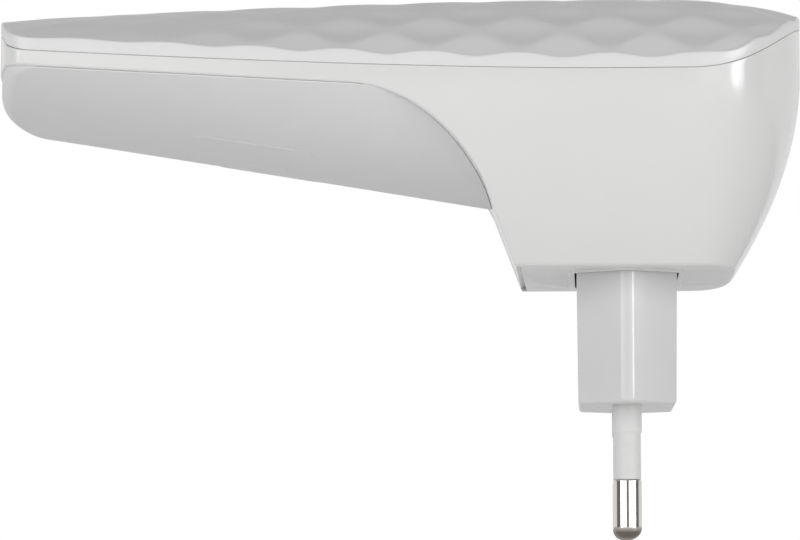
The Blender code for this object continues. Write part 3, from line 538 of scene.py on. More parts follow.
def lower_heights():
    """The housing's lower edge height at each sample of its loop."""
    side = edge_z(STATIONS)
    nose = np.full(NOSE_SAMPLES, BASE_Z)
    thin = np.full(CORNER_SAMPLES + BOW_SAMPLES + CORNER_SAMPLES, RIM_Z)
    z = np.concatenate([nose, side, thin, side[::-1]])
    x, _ = housing_loop(z, 0.0)
    return edge_z(x)


def make_front_housing():
    low = lower_heights()
    x, y = housing_loop(np.maximum(low, RIM_Z), 0.0)
    high = dome_at(x, y) - COVER_BAND
    radius = HOUSING_EDGE_RADIUS
    lower = HOUSING_LOWER_RADIUS
    sheets = []
    for angle in quarter_turn(last=ARC_STEPS - 1):
        sheets.append((low + lower * (1.0 - math.cos(angle)), lower * (1.0 - math.sin(angle))))
    for share in np.linspace(0.0, 1.0, WALL_LEVELS):
        sheets.append((low + lower + (high - low - lower - radius) * share, 0.0))
    for angle in quarter_turn(1):
        sheets.append((high - radius * (1.0 - math.sin(angle)), radius * (1.0 - math.cos(angle))))
    for share in np.linspace(0.0, 1.0, INNER_LEVELS):
        sheets.append((high + (low - high) * share, WALL))
    rings = []
    for z, inset in sheets:
        x, y = housing_loop(z, inset)
        rings.append(np.column_stack([x, y, z]))
    build = Build()
    sheet = np.array(rings)
    count = sheet.shape[1]
    start = build.grid(sheet, close_across=True)
    last = start + (len(rings) - 1) * count
    build.bridge(range(last, last + count), range(start, start + count))
    housing = build.make("gloss_housing")
    return cut(housing, mouth_cutter(), pinhole_cutter())


def make_end_wall():
    """The housing's end wall: it follows the swept edge across the casing and closes the leg."""
    build = Build()
    edge = EDGE[EDGE[:, 0] >= SWEEP_START[0]]
    edge = edge[edge[:, 1] >= BASE_Z]
    across = np.linspace(-1.0, 1.0, END_WALL_COLUMNS)
    sheets = []
    for dx, dz in END_WALL_SHEETS:
        x, z = edge[:, 0] + dx, edge[:, 1] + dz
        width = width_at(z) - END_WALL_INSET
        y = width[:, None] * across[None, :]
        rows_x = np.repeat(x[:, None], len(across), axis=1)
        rows_z = np.repeat(z[:, None], len(across), axis=1)
        sheets.append(np.stack([rows_x, y, rows_z], axis=-1))
    rows, columns = sheets[0].shape[:2]
    starts = [build.grid(sheet) for sheet in sheets]
    borders = [sheet_border(start, rows, columns) for start in starts]
    build.bridge(*borders)
    return build.make("plug_leg_end_wall")


def mouth_cutter():
    outline = [(-MOUTH_HALF_Y, MOUTH_Z[0]), (-LATCH_HALF_Y, MOUTH_Z[0]), (-LATCH_HALF_Y, LATCH_Z)]
    outline += [(LATCH_HALF_Y, LATCH_Z), (LATCH_HALF_Y, MOUTH_Z[0]), (MOUTH_HALF_Y, MOUTH_Z[0])]
    outline += [(MOUTH_HALF_Y, MOUTH_Z[1]), (-MOUTH_HALF_Y, MOUTH_Z[1])]
    return prism_along_x("mouth_cutter", outline, *THIN_CUT_X)


def pinhole_cutter():
    outline = ellipse((PINHOLE_Y, PINHOLE_Z), PINHOLE_RADIUS, PINHOLE_RADIUS, 32)
    return prism_along_x("pinhole_cutter", outline, *THIN_CUT_X)


# ---------------------------------------------------------------- matt rear cover


REAR_ROWS = 111
REAR_COLUMNS = 141
REAR_CROWDING = 1.25  # above 1, the columns crowd towards the thin end
REAR_END_TUCK = 0.2
HALVINGS = 40  # steps of the search for the joint
JOINT_LIFT = 0.2
JOINT_LIP = 0.5
LEAST_RIM = 0.02
RIM_SOFTENING = 0.1
LIP_INWARD = 1.4
LIP_THICK = 1.0
LIP_REACH = 1.2


def rear_sheet(inset, lift):
    """The rear cover's face: from the thin end to the joint that follows the swept edge."""
    width = HALF_WIDTH - inset
    y = width * np.sin(np.linspace(-math.pi / 2.0, math.pi / 2.0, REAR_ROWS))
    left = left_edge(y, width, THIN_END_X + inset - REAR_STEP + REAR_END_TUCK)
    low = np.full(REAR_ROWS, SWEEP_START[0] - 4.0)
    high = np.full(REAR_ROWS, LEG_FOOT[0])
    for _ in range(HALVINGS):
        middle = (low + high) / 2.0
        inside = edge_z(middle) - SEAM - back_at(middle, y) > 0.0
        low = np.where(inside, middle, low)
        high = np.where(inside, high, middle)
    right = low - SEAM
    u = np.linspace(0.0, 1.0, REAR_COLUMNS) ** REAR_CROWDING
    x = left[:, None] + (right - left)[:, None] * u[None, :]
    y = np.repeat(y[:, None], REAR_COLUMNS, axis=1)
    from_end = np.clip(x - left[:, None], 0.0, END_EDGE_RADIUS)
    rise = END_EDGE_RADIUS - np.sqrt(END_EDGE_RADIUS**2 - (END_EDGE_RADIUS - from_end) ** 2)
    z = back_at(x, y) + rise + lift
    return np.stack([x, y, z], axis=-1)


def make_rear_cover():
    build = Build()
    outside = build.grid(rear_sheet(REAR_STEP, 0.0))
    inside = build.grid(rear_sheet(REAR_INNER_INSET, REAR_FLOOR))
    border = sheet_border(outside, REAR_ROWS, REAR_COLUMNS)
    ring = np.array([build.points[i] for i in border])
    outward = border_normals(ring)
    at_joint = np.array([(i - outside) % REAR_COLUMNS == REAR_COLUMNS - 1 for i in border])
    seam = np.where(at_joint, ring[:, 2] + JOINT_LIFT, edge_z(ring[:, 0]) - SEAM)
    seam = np.maximum(seam, ring[:, 2] + LEAST_RIM)
    lip = np.where(at_joint, ring[:, 2] + JOINT_LIP, seam + SEAM + LIP_REACH)
    rim = [(seam - LEAST_RIM, 0.0), (seam, RIM_SOFTENING), (seam, LIP_INWARD)]
    rim += [(lip, LIP_INWARD), (lip, LIP_INWARD + LIP_THICK)]
    loops = [border]
    for z, inward in rim:
        moved = ring.copy()
        moved[:, :2] -= outward * np.where(at_joint, 0.0, inward)[:, None]
        moved[:, 2] = z
        start = build.add_points(moved)
        loops.append(list(range(start, start + len(border))))
    loops.append(sheet_border(inside, REAR_ROWS, REAR_COLUMNS))
    for first, second in zip(loops, loops[1:]):
        build.bridge(first, second)
    rear = build.make("matt_rear_cover")
    return cut(rear, mouth_cutter(), pinhole_cutter())



LABEL_CORNER = 1.5
LABEL_RINGS = 24
LABEL_FACES = (-0.07, 0.03)  # the film's outer and inner face, from the rear cover's


def make_label():
    """A thin blank film on the rear cover. Its sides across the casing are single spans and sink in."""
    low, high = LABEL_LOW, LABEL_HIGH
    corners = [(low[0], low[1]), (high[0], low[1]), (high[0], high[1]), (low[0], high[1])]
    loop = rounded_polygon(corners, [LABEL_CORNER] * 4, 6)
    centre = loop.mean(axis=0)
    build = Build()
    sheets = []
    for lift in LABEL_FACES:
        rings = []
        for share in np.linspace(1.0, 0.02, LABEL_RINGS):
            plan = centre + (loop - centre) * share
            z = back_at(plan[:, 0], plan[:, 1]) + lift
            rings.append(np.column_stack([plan, z]))
        sheets.append(np.array(rings))
    count = len(loop)
    starts = [build.grid(sheet, close_across=True) for sheet in sheets]
    build.bridge(range(starts[0], starts[0] + count), range(starts[1], starts[1] + count))
    for start in starts:
        last = start + (LABEL_RINGS - 1) * count
        build.cap(range(last, last + count))
    return build.make("blank_label_film")


# ---------------------------------------------------------------- base plate and plug


BASE_SKIN_INSET = 0.4  # the skin reaches out over the leg's rim, whose joint doesn't show
BASE_SKIN_DROP = 0.05
BASE_SKIN_THICK = 1.8
BASE_SKIN_RADIUS = 0.25
BASE_CORNER = 0.6


def base_loop():
    """The plan outline of the leg at its foot."""
    z = np.full(NOSE_SAMPLES, BASE_Z)
    taper = taper_at(z)
    inset = BASE_SKIN_INSET
    power = NOSE_POWER + NOSE_POWER_GAIN * taper
    angle = np.linspace(-math.pi / 2.0, math.pi / 2.0, NOSE_SAMPLES)
    width = HALF_WIDTH - SIDE_TAPER * taper - inset
    right = THICK_END_X - NOSE_TAPER * taper - inset
    x = NOSE_START_X + (right - NOSE_START_X) * np.maximum(np.cos(angle), 0.0) ** (2.0 / power)
    y = width * np.sign(angle) * np.abs(np.sin(angle)) ** (2.0 / power)
    left = LEG_FOOT[0] + BASE_SKIN_INSET
    side = width[0]
    corners = [(left, side), (left, -side), (left + 20.0, 0.0)]
    foot = rounded_polygon(corners, [BASE_CORNER, BASE_CORNER, 0.1], 4)[:10]  # without the third corner
    return np.concatenate([np.column_stack([x, y]), foot])


def make_base_plate():
    low = BASE_Z - BASE_SKIN_DROP
    plate = rounded_slab("base_plate_skin", base_loop(), low, low + BASE_SKIN_THICK, BASE_SKIN_RADIUS)
    opening = block_loop(1.0, GAP)
    tool = tube_of_rings("plug_opening", [level(opening, z) for z in (10.0, 30.0)])
    return cut(plate, tool)


COLLAR_OUTSET = 1.1
COLLAR_DROP = 0.25  # how far the collar stands out from the leg's foot
COLLAR_ROOT_Z = BASE_Z + 0.9
COLLAR_SOFTENING = ((0.0, 0.2), (0.06, 0.06), (0.2, 0.0))  # inset, and distance from the collar's face


def make_base_collar():
    """The low collar round the root of the plug block."""
    outer = block_loop(1.0, COLLAR_OUTSET)
    inner = block_loop(1.0, GAP)
    face = BASE_Z - COLLAR_DROP
    rings = [level(outer, COLLAR_ROOT_Z)]
    for inset, rise in COLLAR_SOFTENING:
        rings.append(level(offset_loop(outer, -inset), face + rise))
    rings.append(level(inner, face))
    rings.append(level(inner, COLLAR_ROOT_Z))
    build = Build()
    count = len(outer)
    start = build.grid(np.array(rings), close_across=True)
    last = start + (len(rings) - 1) * count
    build.bridge(range(last, last + count), range(start, start + count))
    return build.make("plug_collar")


BLOCK_HALF_X = 7.08
BLOCK_HALF_Y = 17.65
BLOCK_NOSE_HALF = 0.6
BLOCK_FOOT_SCALE = 0.975
BLOCK_TOP_Z = 21.2
BLOCK_FOOT_RADIUS = 0.5
SHOULDER_RADIUS = 0.7
RIDGE_RADIUS = 1.5
BORE_ROOM = 0.12  # between a sleeve's collar and the block


def block_loop(scale, outset):
    """The plug's flattened hexagon with softened corners."""
    x = BLOCK_HALF_X * scale
    corners = [(-x, -SHOULDER_Y), (-BLOCK_NOSE_HALF, -BLOCK_HALF_Y), (BLOCK_NOSE_HALF, -BLOCK_HALF_Y)]
    corners += [(x, -SHOULDER_Y), (x, SHOULDER_Y), (BLOCK_NOSE_HALF, BLOCK_HALF_Y)]
    corners += [(-BLOCK_NOSE_HALF, BLOCK_HALF_Y), (-x, SHOULDER_Y)]
    radii = [SHOULDER_RADIUS, RIDGE_RADIUS, RIDGE_RADIUS, SHOULDER_RADIUS] * 2
    return offset_loop(rounded_polygon(corners, radii, 6), outset)


def make_plug_block():
    rings = []
    radius = BLOCK_FOOT_RADIUS
    for k in range(7):
        angle = math.pi / 2.0 * k / 6
        inward = radius * (1.0 - math.sin(angle))
        rings.append(level(block_loop(BLOCK_FOOT_SCALE, -inward), radius * (1.0 - math.cos(angle))))
    for share in np.linspace(0.0, 1.0, 8)[1:]:
        scale = BLOCK_FOOT_SCALE + (1.0 - BLOCK_FOOT_SCALE) * share
        rings.append(level(block_loop(scale, 0.0), radius + (BASE_Z - radius) * share))
    rings.append(level(block_loop(1.0, 0.0), BLOCK_TOP_Z))
    block = tube_of_rings("plug_block_skin", rings)
    seat = COLLAR_RADIUS + BORE_ROOM
    profile = [(0.01, -4.0), (seat, -4.0), (seat, 3.0), (0.01, 3.0)]
    tools = [set_on_pin_axis(turned("pin_seat", profile), side) for side in (-1.0, 1.0)]
    return cut(block, *tools)


def set_on_pin_axis(obj, side):
    """Moves a shape drawn about Z onto a pin's axis."""
    lean = Matrix.Rotation(side * PIN_CONVERGE, 4, "X")
    obj.data.transform(Matrix.Translation((0.0, side * PIN_PITCH_HALF * MM, 0.0)) @ lean)
    return obj


PIN_CROWN = 1.7  # height of the domed tip
PIN_CROWN_STEPS = 12
PIN_CROWN_POWER = 0.8  # below 1, the dome is blunter than an ellipse
PIN_CORE_RADIUS = 1.3
PIN_ROOT_Z = 2.6
AXIS_RADIUS = 0.02  # a turned shape stops this far from its axis
SLEEVE_BORE = 1.36


def make_pin(name, side):
    """A nickel-plated pin with a domed tip."""
    tip = PIN_LOW[2]
    profile = [(AXIS_RADIUS, tip)]
    for k in range(1, PIN_CROWN_STEPS + 1):
        angle = math.pi / 2.0 * k / PIN_CROWN_STEPS
        radius = PIN_RADIUS * math.sin(angle) ** PIN_CROWN_POWER
        profile.append((radius, tip + PIN_CROWN * (1.0 - math.cos(angle))))
    shoulder = SLEEVE_END_Z - 0.06
    profile += [(PIN_RADIUS, shoulder - 0.12), (PIN_RADIUS - 0.1, shoulder)]
    profile += [(PIN_CORE_RADIUS, shoulder), (PIN_CORE_RADIUS, PIN_ROOT_Z), (AXIS_RADIUS, PIN_ROOT_Z)]
    return set_on_pin_axis(turned(name, profile), side)


def make_sleeve(name, side):
    """The insulating sleeve round a pin's upper half, with a wider collar where it leaves the block."""
    low = SLEEVE_END_Z
    outline = [(SLEEVE_BORE, low), (SLEEVE_RADIUS - 0.12, low), (SLEEVE_RADIUS - 0.03, low + 0.05)]
    outline += [(SLEEVE_RADIUS, low + 0.15), (SLEEVE_RADIUS, COLLAR_END_Z - 0.15)]
    outline += [(SLEEVE_RADIUS + 0.04, COLLAR_END_Z - 0.05), (COLLAR_RADIUS - 0.05, COLLAR_END_Z)]
    outline += [(COLLAR_RADIUS, COLLAR_END_Z + 0.1), (COLLAR_RADIUS, SLEEVE_SEAT)]
    outline.append((SLEEVE_BORE, SLEEVE_SEAT))
    turns = np.linspace(0.0, 2.0 * math.pi, TURNED_STEPS, endpoint=False)
    rings = np.array([[(r * math.cos(a), r * math.sin(a), z) for a in turns] for r, z in outline])
    build = Build()
    start = build.grid(rings, close_across=True)
    last = start + (len(outline) - 1) * TURNED_STEPS
    build.bridge(range(last, last + TURNED_STEPS), range(start, start + TURNED_STEPS))
    return set_on_pin_axis(build.make(name), side)


# ---------------------------------------------------------------- button and socket


BUTTON_CENTRE = ((BUTTON_LOW[0] + BUTTON_HIGH[0]) / 2.0, 0.0)
BUTTON_HALF = (6.0, 4.0)
BUTTON_DISH = 0.25
BUTTON_FLAT = 0.94  # share of the cap inside its rounded edge
BUTTON_EDGE_RADIUS = 0.24
BUTTON_SKIRT = 0.6


def make_pairing_button():
    """An oval cap that follows the arch and is very slightly dished."""
    build = Build()
    loop = ellipse((0.0, 0.0), *BUTTON_HALF, 96)
    rings = []
    for share in np.linspace(0.02, BUTTON_FLAT, 16):
        plan = loop * share
        x = plan[:, 0] + BUTTON_CENTRE[0]
        dish = BUTTON_DISH * (1.0 - share**2)
        rings.append(np.column_stack([x, plan[:, 1], dome_at(x, plan[:, 1]) - dish]))
    for angle in quarter_turn(1):
        plan = loop * (BUTTON_FLAT + (1.0 - BUTTON_FLAT) * math.sin(angle))
        x = plan[:, 0] + BUTTON_CENTRE[0]
        z = dome_at(x, plan[:, 1]) - BUTTON_EDGE_RADIUS * (1.0 - math.cos(angle))
        rings.append(np.column_stack([x, plan[:, 1], z]))
    skirt = rings[-1].copy()
    skirt[:, 2] = BUTTON_LOW[2] + BUTTON_SKIRT
    rings.append(skirt)
    sheet = np.array(rings)
    count = len(loop)
    start = build.grid(sheet, close_across=True)
    build.cap(range(start, start + count))
    last = start + (len(rings) - 1) * count
    build.cap(range(last, last + count))
    return build.make("pairing_button_cap")


def rounded_box(name, low, high, radius):
    """A box with bevelled edges."""
    bm = bmesh.new()
    bmesh.ops.create_cube(bm, size=1.0)
    low, high = np.array(low, float) * MM, np.array(high, float) * MM
    for vert in bm.verts:
        vert.co = [low[k] + (vert.co[k] + 0.5) * (high[k] - low[k]) for k in range(3)]
    edges = list(bm.edges)
    bmesh.ops.bevel(bm, geom=edges, offset=radius * MM, segments=2, affect="EDGES", profile=0.5)
    mesh = bpy.data.meshes.new(name)
    bm.to_mesh(mesh)
    bm.free()
    obj = bpy.data.objects.new(name, mesh)
    bpy.context.scene.collection.objects.link(obj)
    mesh.shade_smooth()
    mesh.set_sharp_from_angle(angle=SHARP_ANGLE)
    return obj


SOCKET_FRONT_X = JACK_LOW[0]
SOCKET_HALF_Y = 6.0
SOCKET_LATCH_HALF_Y = 3.2
SOCKET_LEVELS = (45.0, 46.1, 52.7)  # the latch notch's floor, the mouth's floor and its ceiling
SOCKET_EDGE_RADIUS = 0.35
SOCKET_DEPTH = 13.4
LINER_X = (SOCKET_FRONT_X + 0.4, SOCKET_FRONT_X + 13.2)
LINER_BACK = 0.4
CONTACT_COUNT = 8
CONTACT_PITCH = 1.02
CONTACT_RADIUS = 0.18
CONTACT_ROUTE = ((2.2, 52.3), (3.0, 52.2), (3.8, 51.9), (8.5, 49.4), (10.5, 48.6), (12.6, 48.3))


def make_socket_shield():
    """The network socket's folded steel shield, open towards the thin end."""
    shield = rounded_box("socket_shield", JACK_LOW, JACK_HIGH, SOCKET_EDGE_RADIUS)
    outline = socket_outline(0.35)
    cavity = prism_along_x("cavity", outline, SOCKET_FRONT_X - 2.0, SOCKET_FRONT_X + SOCKET_DEPTH)
    return cut(shield, cavity)


def socket_outline(grow):
    """The socket's mouth as y and z, grown by grow, but by less above and below."""
    half, latch = SOCKET_HALF_Y + grow, SOCKET_LATCH_HALF_Y + grow
    low, step, high = SOCKET_LEVELS
    low, step, high = low - min(grow, 0.15), step - grow, high + min(grow, 0.2)
    outline = [(-half, step), (-latch, step), (-latch, low), (latch, low), (latch, step), (half, step)]
    return outline + [(half, high), (-half, high)]


def make_socket_liner():
    """The black plastic lining inside the shield."""
    outer = prism_along_x("socket_liner", socket_outline(0.3), *LINER_X)
    hollow = (SOCKET_FRONT_X - 1.0, LINER_X[1] - LINER_BACK)
    inner = prism_along_x("liner_hollow", socket_outline(0.0), *hollow)
    return cut(outer, inner)


def make_socket_contacts():
    """Eight sprung contact wires that slope back into the socket."""
    build = Build()
    turns = np.linspace(0.0, 2.0 * math.pi, 8, endpoint=False)
    radius = CONTACT_RADIUS
    for number in range(CONTACT_COUNT):
        y = (number - (CONTACT_COUNT - 1) / 2.0) * CONTACT_PITCH
        rings = []
        for depth, z in CONTACT_ROUTE:
            x = SOCKET_FRONT_X + depth
            rings.append([(x, y + radius * math.cos(a), z + radius * math.sin(a)) for a in turns])
        start = build.grid(np.array(rings), close_across=True)
        build.cap(range(start, start + len(turns)))
        last = start + (len(rings) - 1) * len(turns)
        build.cap(range(last, last + len(turns)))
    return build.make("socket_contacts")


# ---------------------------------------------------------------- materials


def new_material(name):
    material = bpy.data.materials.new(name)
    material.use_nodes = True
    return material, material.node_tree.nodes, material.node_tree.links


def surface_noise(nodes, links, scale, detail=2.0):
    """Noise in the part's own frame, in cycles per metre."""
    place = nodes.new("ShaderNodeTexCoord")
    noise = nodes.new("ShaderNodeTexNoise")
    noise.inputs["Scale"].default_value = scale
    noise.inputs["Detail"].default_value = detail
    links.new(place.outputs["Object"], noise.inputs["Vector"])
    return noise.outputs["Fac"]


def ramp(nodes, links, source, low, high):
    """Maps noise to a narrow band of values."""
    span = nodes.new("ShaderNodeMapRange")
    span.inputs["From Min"].default_value = NOISE_BAND[0]
    span.inputs["From Max"].default_value = NOISE_BAND[1]
    span.inputs["To Min"].default_value = low
    span.inputs["To Max"].default_value = high
    links.new(source, span.inputs["Value"])
    return span.outputs["Result"]


def tint(nodes, links, source, first, second):
    mix = nodes.new("ShaderNodeMix")
    mix.data_type = "RGBA"
    mix.inputs["A"].default_value = (*first, 1.0)
    mix.inputs["B"].default_value = (*second, 1.0)
    links.new(ramp(nodes, links, source, 0.0, 1.0), mix.inputs["Factor"])
    return mix.outputs["Result"]


NOISE_BAND = (0.3, 0.7)  # the noise values between which a finish drifts
ROUGH_NOISE_RATIO = 3.1  # the roughness drifts in finer patches than the colour
COAT_ROUGHNESS = 0.08
BUMP_HEIGHT = 0.0001
TIP_WEAR = (1.0, 1.9)  # from the pin's end, the band over which the wear fades out
TIP_COLOUR = (0.22, 0.19, 0.16, 1.0)


def finish_material(name, colour, spread, roughness, spread_rough, scale, bump=0.0, bump_scale=0.0,
                    metallic=0.0, coat=0.0):
    """A moulded or plated finish: slight colour and roughness drift, and a fine bump."""
    material, nodes, links = new_material(name)
    shader = nodes["Principled BSDF"]
    shader.inputs["Metallic"].default_value = metallic
    shader.inputs["Coat Weight"].default_value = coat
    shader.inputs["Coat Roughness"].default_value = COAT_ROUGHNESS
    drift = surface_noise(nodes, links, scale)
    light = tuple(min(1.0, c * (1.0 + spread)) for c in colour)
    dark = tuple(c * (1.0 - spread) for c in colour)
    links.new(tint(nodes, links, drift, dark, light), shader.inputs["Base Color"])
    rough = surface_noise(nodes, links, scale * ROUGH_NOISE_RATIO, 3.0)
    low, high = roughness - spread_rough, roughness + spread_rough
    links.new(ramp(nodes, links, rough, low, high), shader.inputs["Roughness"])
    if bump > 0.0:
        height = nodes.new("ShaderNodeBump")
        height.inputs["Strength"].default_value = bump
        height.inputs["Distance"].default_value = BUMP_HEIGHT
        links.new(surface_noise(nodes, links, bump_scale, 3.0), height.inputs["Height"])
        links.new(height.outputs["Normal"], shader.inputs["Normal"])
    return material


def add_tip_wear(material):
    """Darkens the plating towards the pins' tips, where the brass shows through."""
    nodes, links = material.node_tree.nodes, material.node_tree.links
    shader = nodes["Principled BSDF"]
    place = nodes.new("ShaderNodeTexCoord")
    split = nodes.new("ShaderNodeSeparateXYZ")
    links.new(place.outputs["Object"], split.inputs["Vector"])
    worn = nodes.new("ShaderNodeMapRange")
    worn.inputs["From Min"].default_value = (PIN_LOW[2] + TIP_WEAR[0]) * MM
    worn.inputs["From Max"].default_value = (PIN_LOW[2] + TIP_WEAR[1]) * MM
    links.new(split.outputs["Z"], worn.inputs["Value"])
    mix = nodes.new("ShaderNodeMix")
    mix.data_type = "RGBA"
    mix.inputs["A"].default_value = TIP_COLOUR
    links.new(worn.outputs["Result"], mix.inputs["Factor"])
    links.new(shader.inputs["Base Color"].links[0].from_socket, mix.inputs["B"])
    links.new(mix.outputs["Result"], shader.inputs["Base Color"])


FINISHES = (
    # slot, name, colour, colour drift, roughness, its drift, noise scale, bump, bump scale, metallic, coat
    ("gloss_housing", "gloss_white_abs", (0.76, 0.755, 0.75), 0.006, 0.13, 0.02, 60.0, 0.02, 500.0),
    ("front_cover", "satin_white_abs", (0.77, 0.765, 0.765), 0.006, 0.34, 0.03, 60.0, 0.05, 9000.0),
    ("matt_shell", "matt_white_abs", (0.76, 0.76, 0.76), 0.012, 0.58, 0.05, 90.0, 0.35, 9000.0),
    ("plug_body", "plug_white", (0.70, 0.695, 0.695), 0.008, 0.16, 0.02, 120.0, 0.05, 1500.0),
    ("pin_sleeve", "sleeve_off_white", (0.74, 0.735, 0.73), 0.01, 0.42, 0.04, 200.0, 0.05, 2500.0),
    ("plug_pin", "nickel_plate", (0.80, 0.77, 0.73), 0.02, 0.05, 0.01, 300.0, 0.02, 3000.0, 1.0),
    ("label_film", "label_film", (0.74, 0.74, 0.74), 0.01, 0.38, 0.03, 150.0, 0.03, 3000.0),
    ("button_plastic", "button_white", (0.77, 0.765, 0.765), 0.008, 0.27, 0.03, 120.0, 0.04, 1500.0),
    ("clear_plastic", "milky_guide", (0.86, 0.88, 0.90), 0.01, 0.10, 0.02, 300.0, 0.0, 0.0, 0.0, 0.3),
    ("lamp_body", "lamp_body", (0.80, 0.82, 0.60), 0.03, 0.25, 0.04, 800.0, 0.0, 0.0, 0.0, 0.2),
    ("circuit_board", "solder_mask", (0.035, 0.24, 0.10), 0.12, 0.32, 0.05, 900.0, 0.2, 1800.0),
    ("black_component", "black_epoxy", (0.028, 0.028, 0.03), 0.15, 0.5, 0.06, 500.0, 0.2, 5000.0),
    ("ferrite", "ferrite_grey", (0.06, 0.06, 0.065), 0.15, 0.6, 0.06, 500.0, 0.3, 4000.0),
    ("winding_tape", "winding_tape", (0.80, 0.62, 0.10), 0.05, 0.35, 0.05, 300.0, 0.1, 1500.0),
    ("capacitor_sleeve", "capacitor_sleeve", (0.03, 0.04, 0.12), 0.1, 0.3, 0.04, 300.0, 0.05, 1500.0),
    ("ceramic", "blue_lacquer", (0.10, 0.25, 0.55), 0.08, 0.3, 0.05, 400.0, 0.1, 2000.0),
    ("insulation_film", "insulation_film", (0.80, 0.78, 0.70), 0.02, 0.4, 0.04, 200.0, 0.05, 900.0),
    ("tinned_metal", "tinned_steel", (0.66, 0.66, 0.65), 0.05, 0.28, 0.06, 700.0, 0.08, 2500.0, 1.0),
    ("aluminium", "aluminium_plate", (0.77, 0.77, 0.78), 0.04, 0.32, 0.06, 500.0, 0.08, 2500.0, 1.0),
    ("contact_metal", "gold_flash", (0.83, 0.62, 0.30), 0.04, 0.22, 0.05, 700.0, 0.03, 2500.0, 1.0),
)


def make_materials():
    materials = {slot: finish_material(*finish) for slot, *finish in FINISHES}
    add_tip_wear(materials["plug_pin"])
    return materials


# ---------------------------------------------------------------- light, floor and camera


CAMERA_PLACE = Vector((-5.24, -500.0, -23.1)) * MM
CAMERA_YAW = math.radians(3.15)
CAMERA_PITCH = math.radians(4.94)
CAMERA_LENS = 155.52
FLOOR_Z = -75.0
FLOOR_HALF = 3000.0
FLOOR_GLOW = 0.17


def add_camera():
    data = bpy.data.cameras.new("camera")
    data.sensor_width = 36.0
    data.lens = CAMERA_LENS
    data.clip_start = 0.01
    camera = bpy.data.objects.new("camera", data)
    bpy.context.scene.collection.objects.link(camera)
    upright = Matrix.Rotation(math.pi / 2.0, 4, "X")
    turn = Matrix.Rotation(CAMERA_YAW, 4, "Z") @ Matrix.Rotation(CAMERA_PITCH, 4, "X")
    camera.matrix_world = Matrix.Translation(CAMERA_PLACE) @ turn @ upright
    bpy.context.scene.camera = camera


def add_floor():
    """A pale floor that shows only its upper face, so the underside of the part can be looked at too."""
    build = Build()
    half, z = FLOOR_HALF, FLOOR_Z
    build.grid(np.array([[(-half, -half, z), (half, -half, z)], [(-half, half, z), (half, half, z)]]))
    floor = build.make("pale_floor")
    material, nodes, links = new_material("pale_floor")
    shader = nodes["Principled BSDF"]
    shader.inputs["Base Color"].default_value = (0.86, 0.86, 0.86, 1.0)
    shader.inputs["Roughness"].default_value = 0.7
    shader.inputs["Emission Color"].default_value = (1.0, 1.0, 1.0, 1.0)
    shader.inputs["Emission Strength"].default_value = FLOOR_GLOW
    geometry = nodes.new("ShaderNodeNewGeometry")
    clear = nodes.new("ShaderNodeBsdfTransparent")
    mix = nodes.new("ShaderNodeMixShader")
    links.new(geometry.outputs["Backfacing"], mix.inputs["Fac"])
    links.new(shader.outputs["BSDF"], mix.inputs[1])
    links.new(clear.outputs["BSDF"], mix.inputs[2])
    links.new(mix.outputs["Shader"], nodes["Material Output"].inputs["Surface"])
    floor.data.materials.append(material)
    for polygon in floor.data.polygons:
        if polygon.normal.z < 0.0:
            polygon.flip()


# Radiance of the surround: dim round the front horizon, white behind the part, moderate above
FRONT_LEVEL = 0.17
BACK_LEVEL = 0.78
SKY_LEVEL = 0.27
BACK_RISE = (0.12, 0.22)  # Y of a direction over which the back brightens
SKY_RISE = (0.40, 0.66)  # Z of a direction over which the horizon gives way to the sky


def smooth_step(nodes, links, source, rise):
    step = nodes.new("ShaderNodeMapRange")
    step.interpolation_type = "SMOOTHSTEP"
    step.inputs["From Min"].default_value = rise[0]
    step.inputs["From Max"].default_value = rise[1]
    links.new(source, step.inputs["Value"])
    return step.outputs["Result"]


def blend_levels(nodes, links, factor, first, second):
    """Mixes two levels, each a number or a node's output."""
    mix = nodes.new("ShaderNodeMix")
    links.new(factor, mix.inputs["Factor"])
    for socket, level_value in (("A", first), ("B", second)):
        if isinstance(level_value, float):
            mix.inputs[socket].default_value = level_value
        else:
            links.new(level_value, mix.inputs[socket])
    return mix.outputs["Result"]


def add_world():
    """The surround, which the camera itself sees as plain white."""
    world = bpy.data.worlds.new("studio")
    bpy.context.scene.world = world
    world.use_nodes = True
    nodes, links = world.node_tree.nodes, world.node_tree.links
    direction = nodes.new("ShaderNodeTexCoord")
    split = nodes.new("ShaderNodeSeparateXYZ")
    links.new(direction.outputs["Generated"], split.inputs["Vector"])
    behind = smooth_step(nodes, links, split.outputs["Y"], BACK_RISE)
    above = smooth_step(nodes, links, split.outputs["Z"], SKY_RISE)
    horizon = blend_levels(nodes, links, behind, FRONT_LEVEL, BACK_LEVEL)
    shade = blend_levels(nodes, links, above, horizon, SKY_LEVEL)
    path = nodes.new("ShaderNodeLightPath")
    strength = blend_levels(nodes, links, path.outputs["Is Camera Ray"], shade, 1.0)
    links.new(strength, nodes["Background"].inputs["Strength"])
    nodes["Background"].inputs["Color"].default_value = (1.0, 1.0, 1.0, 1.0)


WINDOW_DISTANCE = 1.2
LIGHT_AIM = Vector((-0.03, 0.0, 0.03))
WINDOWS = (
    # name, degrees to the right of the front, size, radiance, height, whether matt surfaces see it
    ("left_window", -25.5, (0.76, 1.5), 1.29, 0.03, True),
    ("left_box", -51.5, (0.36, 0.8), 3.4, 0.3, True),
    ("right_window", 25.5, (0.76, 1.5), 1.29, 0.03, True),
    ("right_box", 51.5, (0.36, 0.8), 3.4, 0.3, True),
    ("nose_strip", 57.5, (0.42, 0.78), 6.0, 0.32, False),
)


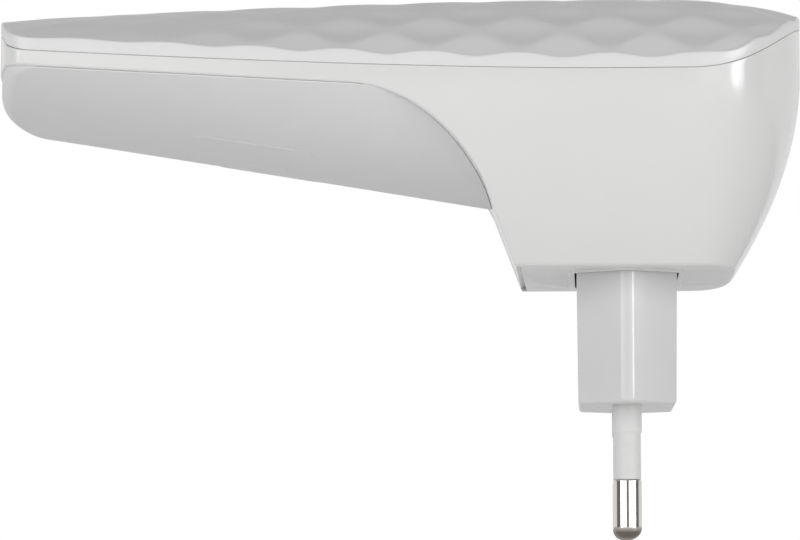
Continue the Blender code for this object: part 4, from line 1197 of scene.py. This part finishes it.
def add_window(name, azimuth, size, radiance, height, diffuse):
    """A soft window of an even radiance, azimuth degrees to the right of the front."""
    data = bpy.data.lights.new(name, "AREA")
    data.shape = "RECTANGLE"
    data.size, data.size_y = size
    data.energy = radiance * math.pi * size[0] * size[1]
    light = bpy.data.objects.new(name, data)
    bpy.context.scene.collection.objects.link(light)
    turn = math.radians(azimuth)
    light.location = (WINDOW_DISTANCE * math.sin(turn), -WINDOW_DISTANCE * math.cos(turn), height)
    light.visible_camera = False
    light.visible_diffuse = diffuse
    light.rotation_euler = (LIGHT_AIM - light.location).to_track_quat("-Z", "Y").to_euler()


def add_stage():
    """The surround, the floor, and the windows in front."""
    bpy.context.scene.view_settings.view_transform = "Standard"
    add_world()
    add_floor()
    for window in WINDOWS:
        add_window(*window)


# ---------------------------------------------------------------- assembly


def place(piece, body, slot, materials, *nodes):
    """Gives a piece its body and finish, and hides the CAD nodes it stands for."""
    piece.data.materials.clear()
    piece.data.materials.append(materials[slot])
    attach(piece, body)
    if nodes:
        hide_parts(*nodes)


def dress_nodes(materials):
    """Every CAD node that stays gets the finish its record names."""
    for row in frame["record"]["subparts"]:
        data = frame["nodes"][row["node"]].data
        data.materials.clear()
        data.materials.append(materials[row["material_slot"]])


def main():
    add_camera()
    add_stage()
    materials = make_materials()
    dress_nodes(materials)
    place(make_front_cover(), "casing", "front_cover", materials, "front_cover")
    place(make_front_housing(), "casing", "gloss_housing", materials, "front_housing")
    place(make_end_wall(), "casing", "gloss_housing", materials)
    place(make_rear_cover(), "casing", "matt_shell", materials, "rear_cover")
    place(make_label(), "casing", "label_film", materials, "rating_label")
    place(make_base_plate(), "casing", "gloss_housing", materials, "base_plate")
    place(make_base_collar(), "casing", "gloss_housing", materials)
    place(make_plug_block(), "casing", "plug_body", materials, "plug_block")
    for name, side in (("line", -1.0), ("neutral", 1.0)):
        place(make_pin(f"{name}_pin_skin", side), "casing", "plug_pin", materials, f"{name}_pin")
        sleeve = make_sleeve(f"{name}_sleeve_skin", side)
        place(sleeve, "casing", "pin_sleeve", materials, f"{name}_pin_sleeve")
    place(make_pairing_button(), "pairing_button", "button_plastic", materials, "pairing_button")
    place(make_socket_shield(), "casing", "tinned_metal", materials, "ethernet_jack")
    place(make_socket_liner(), "casing", "black_component", materials)
    place(make_socket_contacts(), "casing", "contact_metal", materials, "jack_contact_comb")


main()
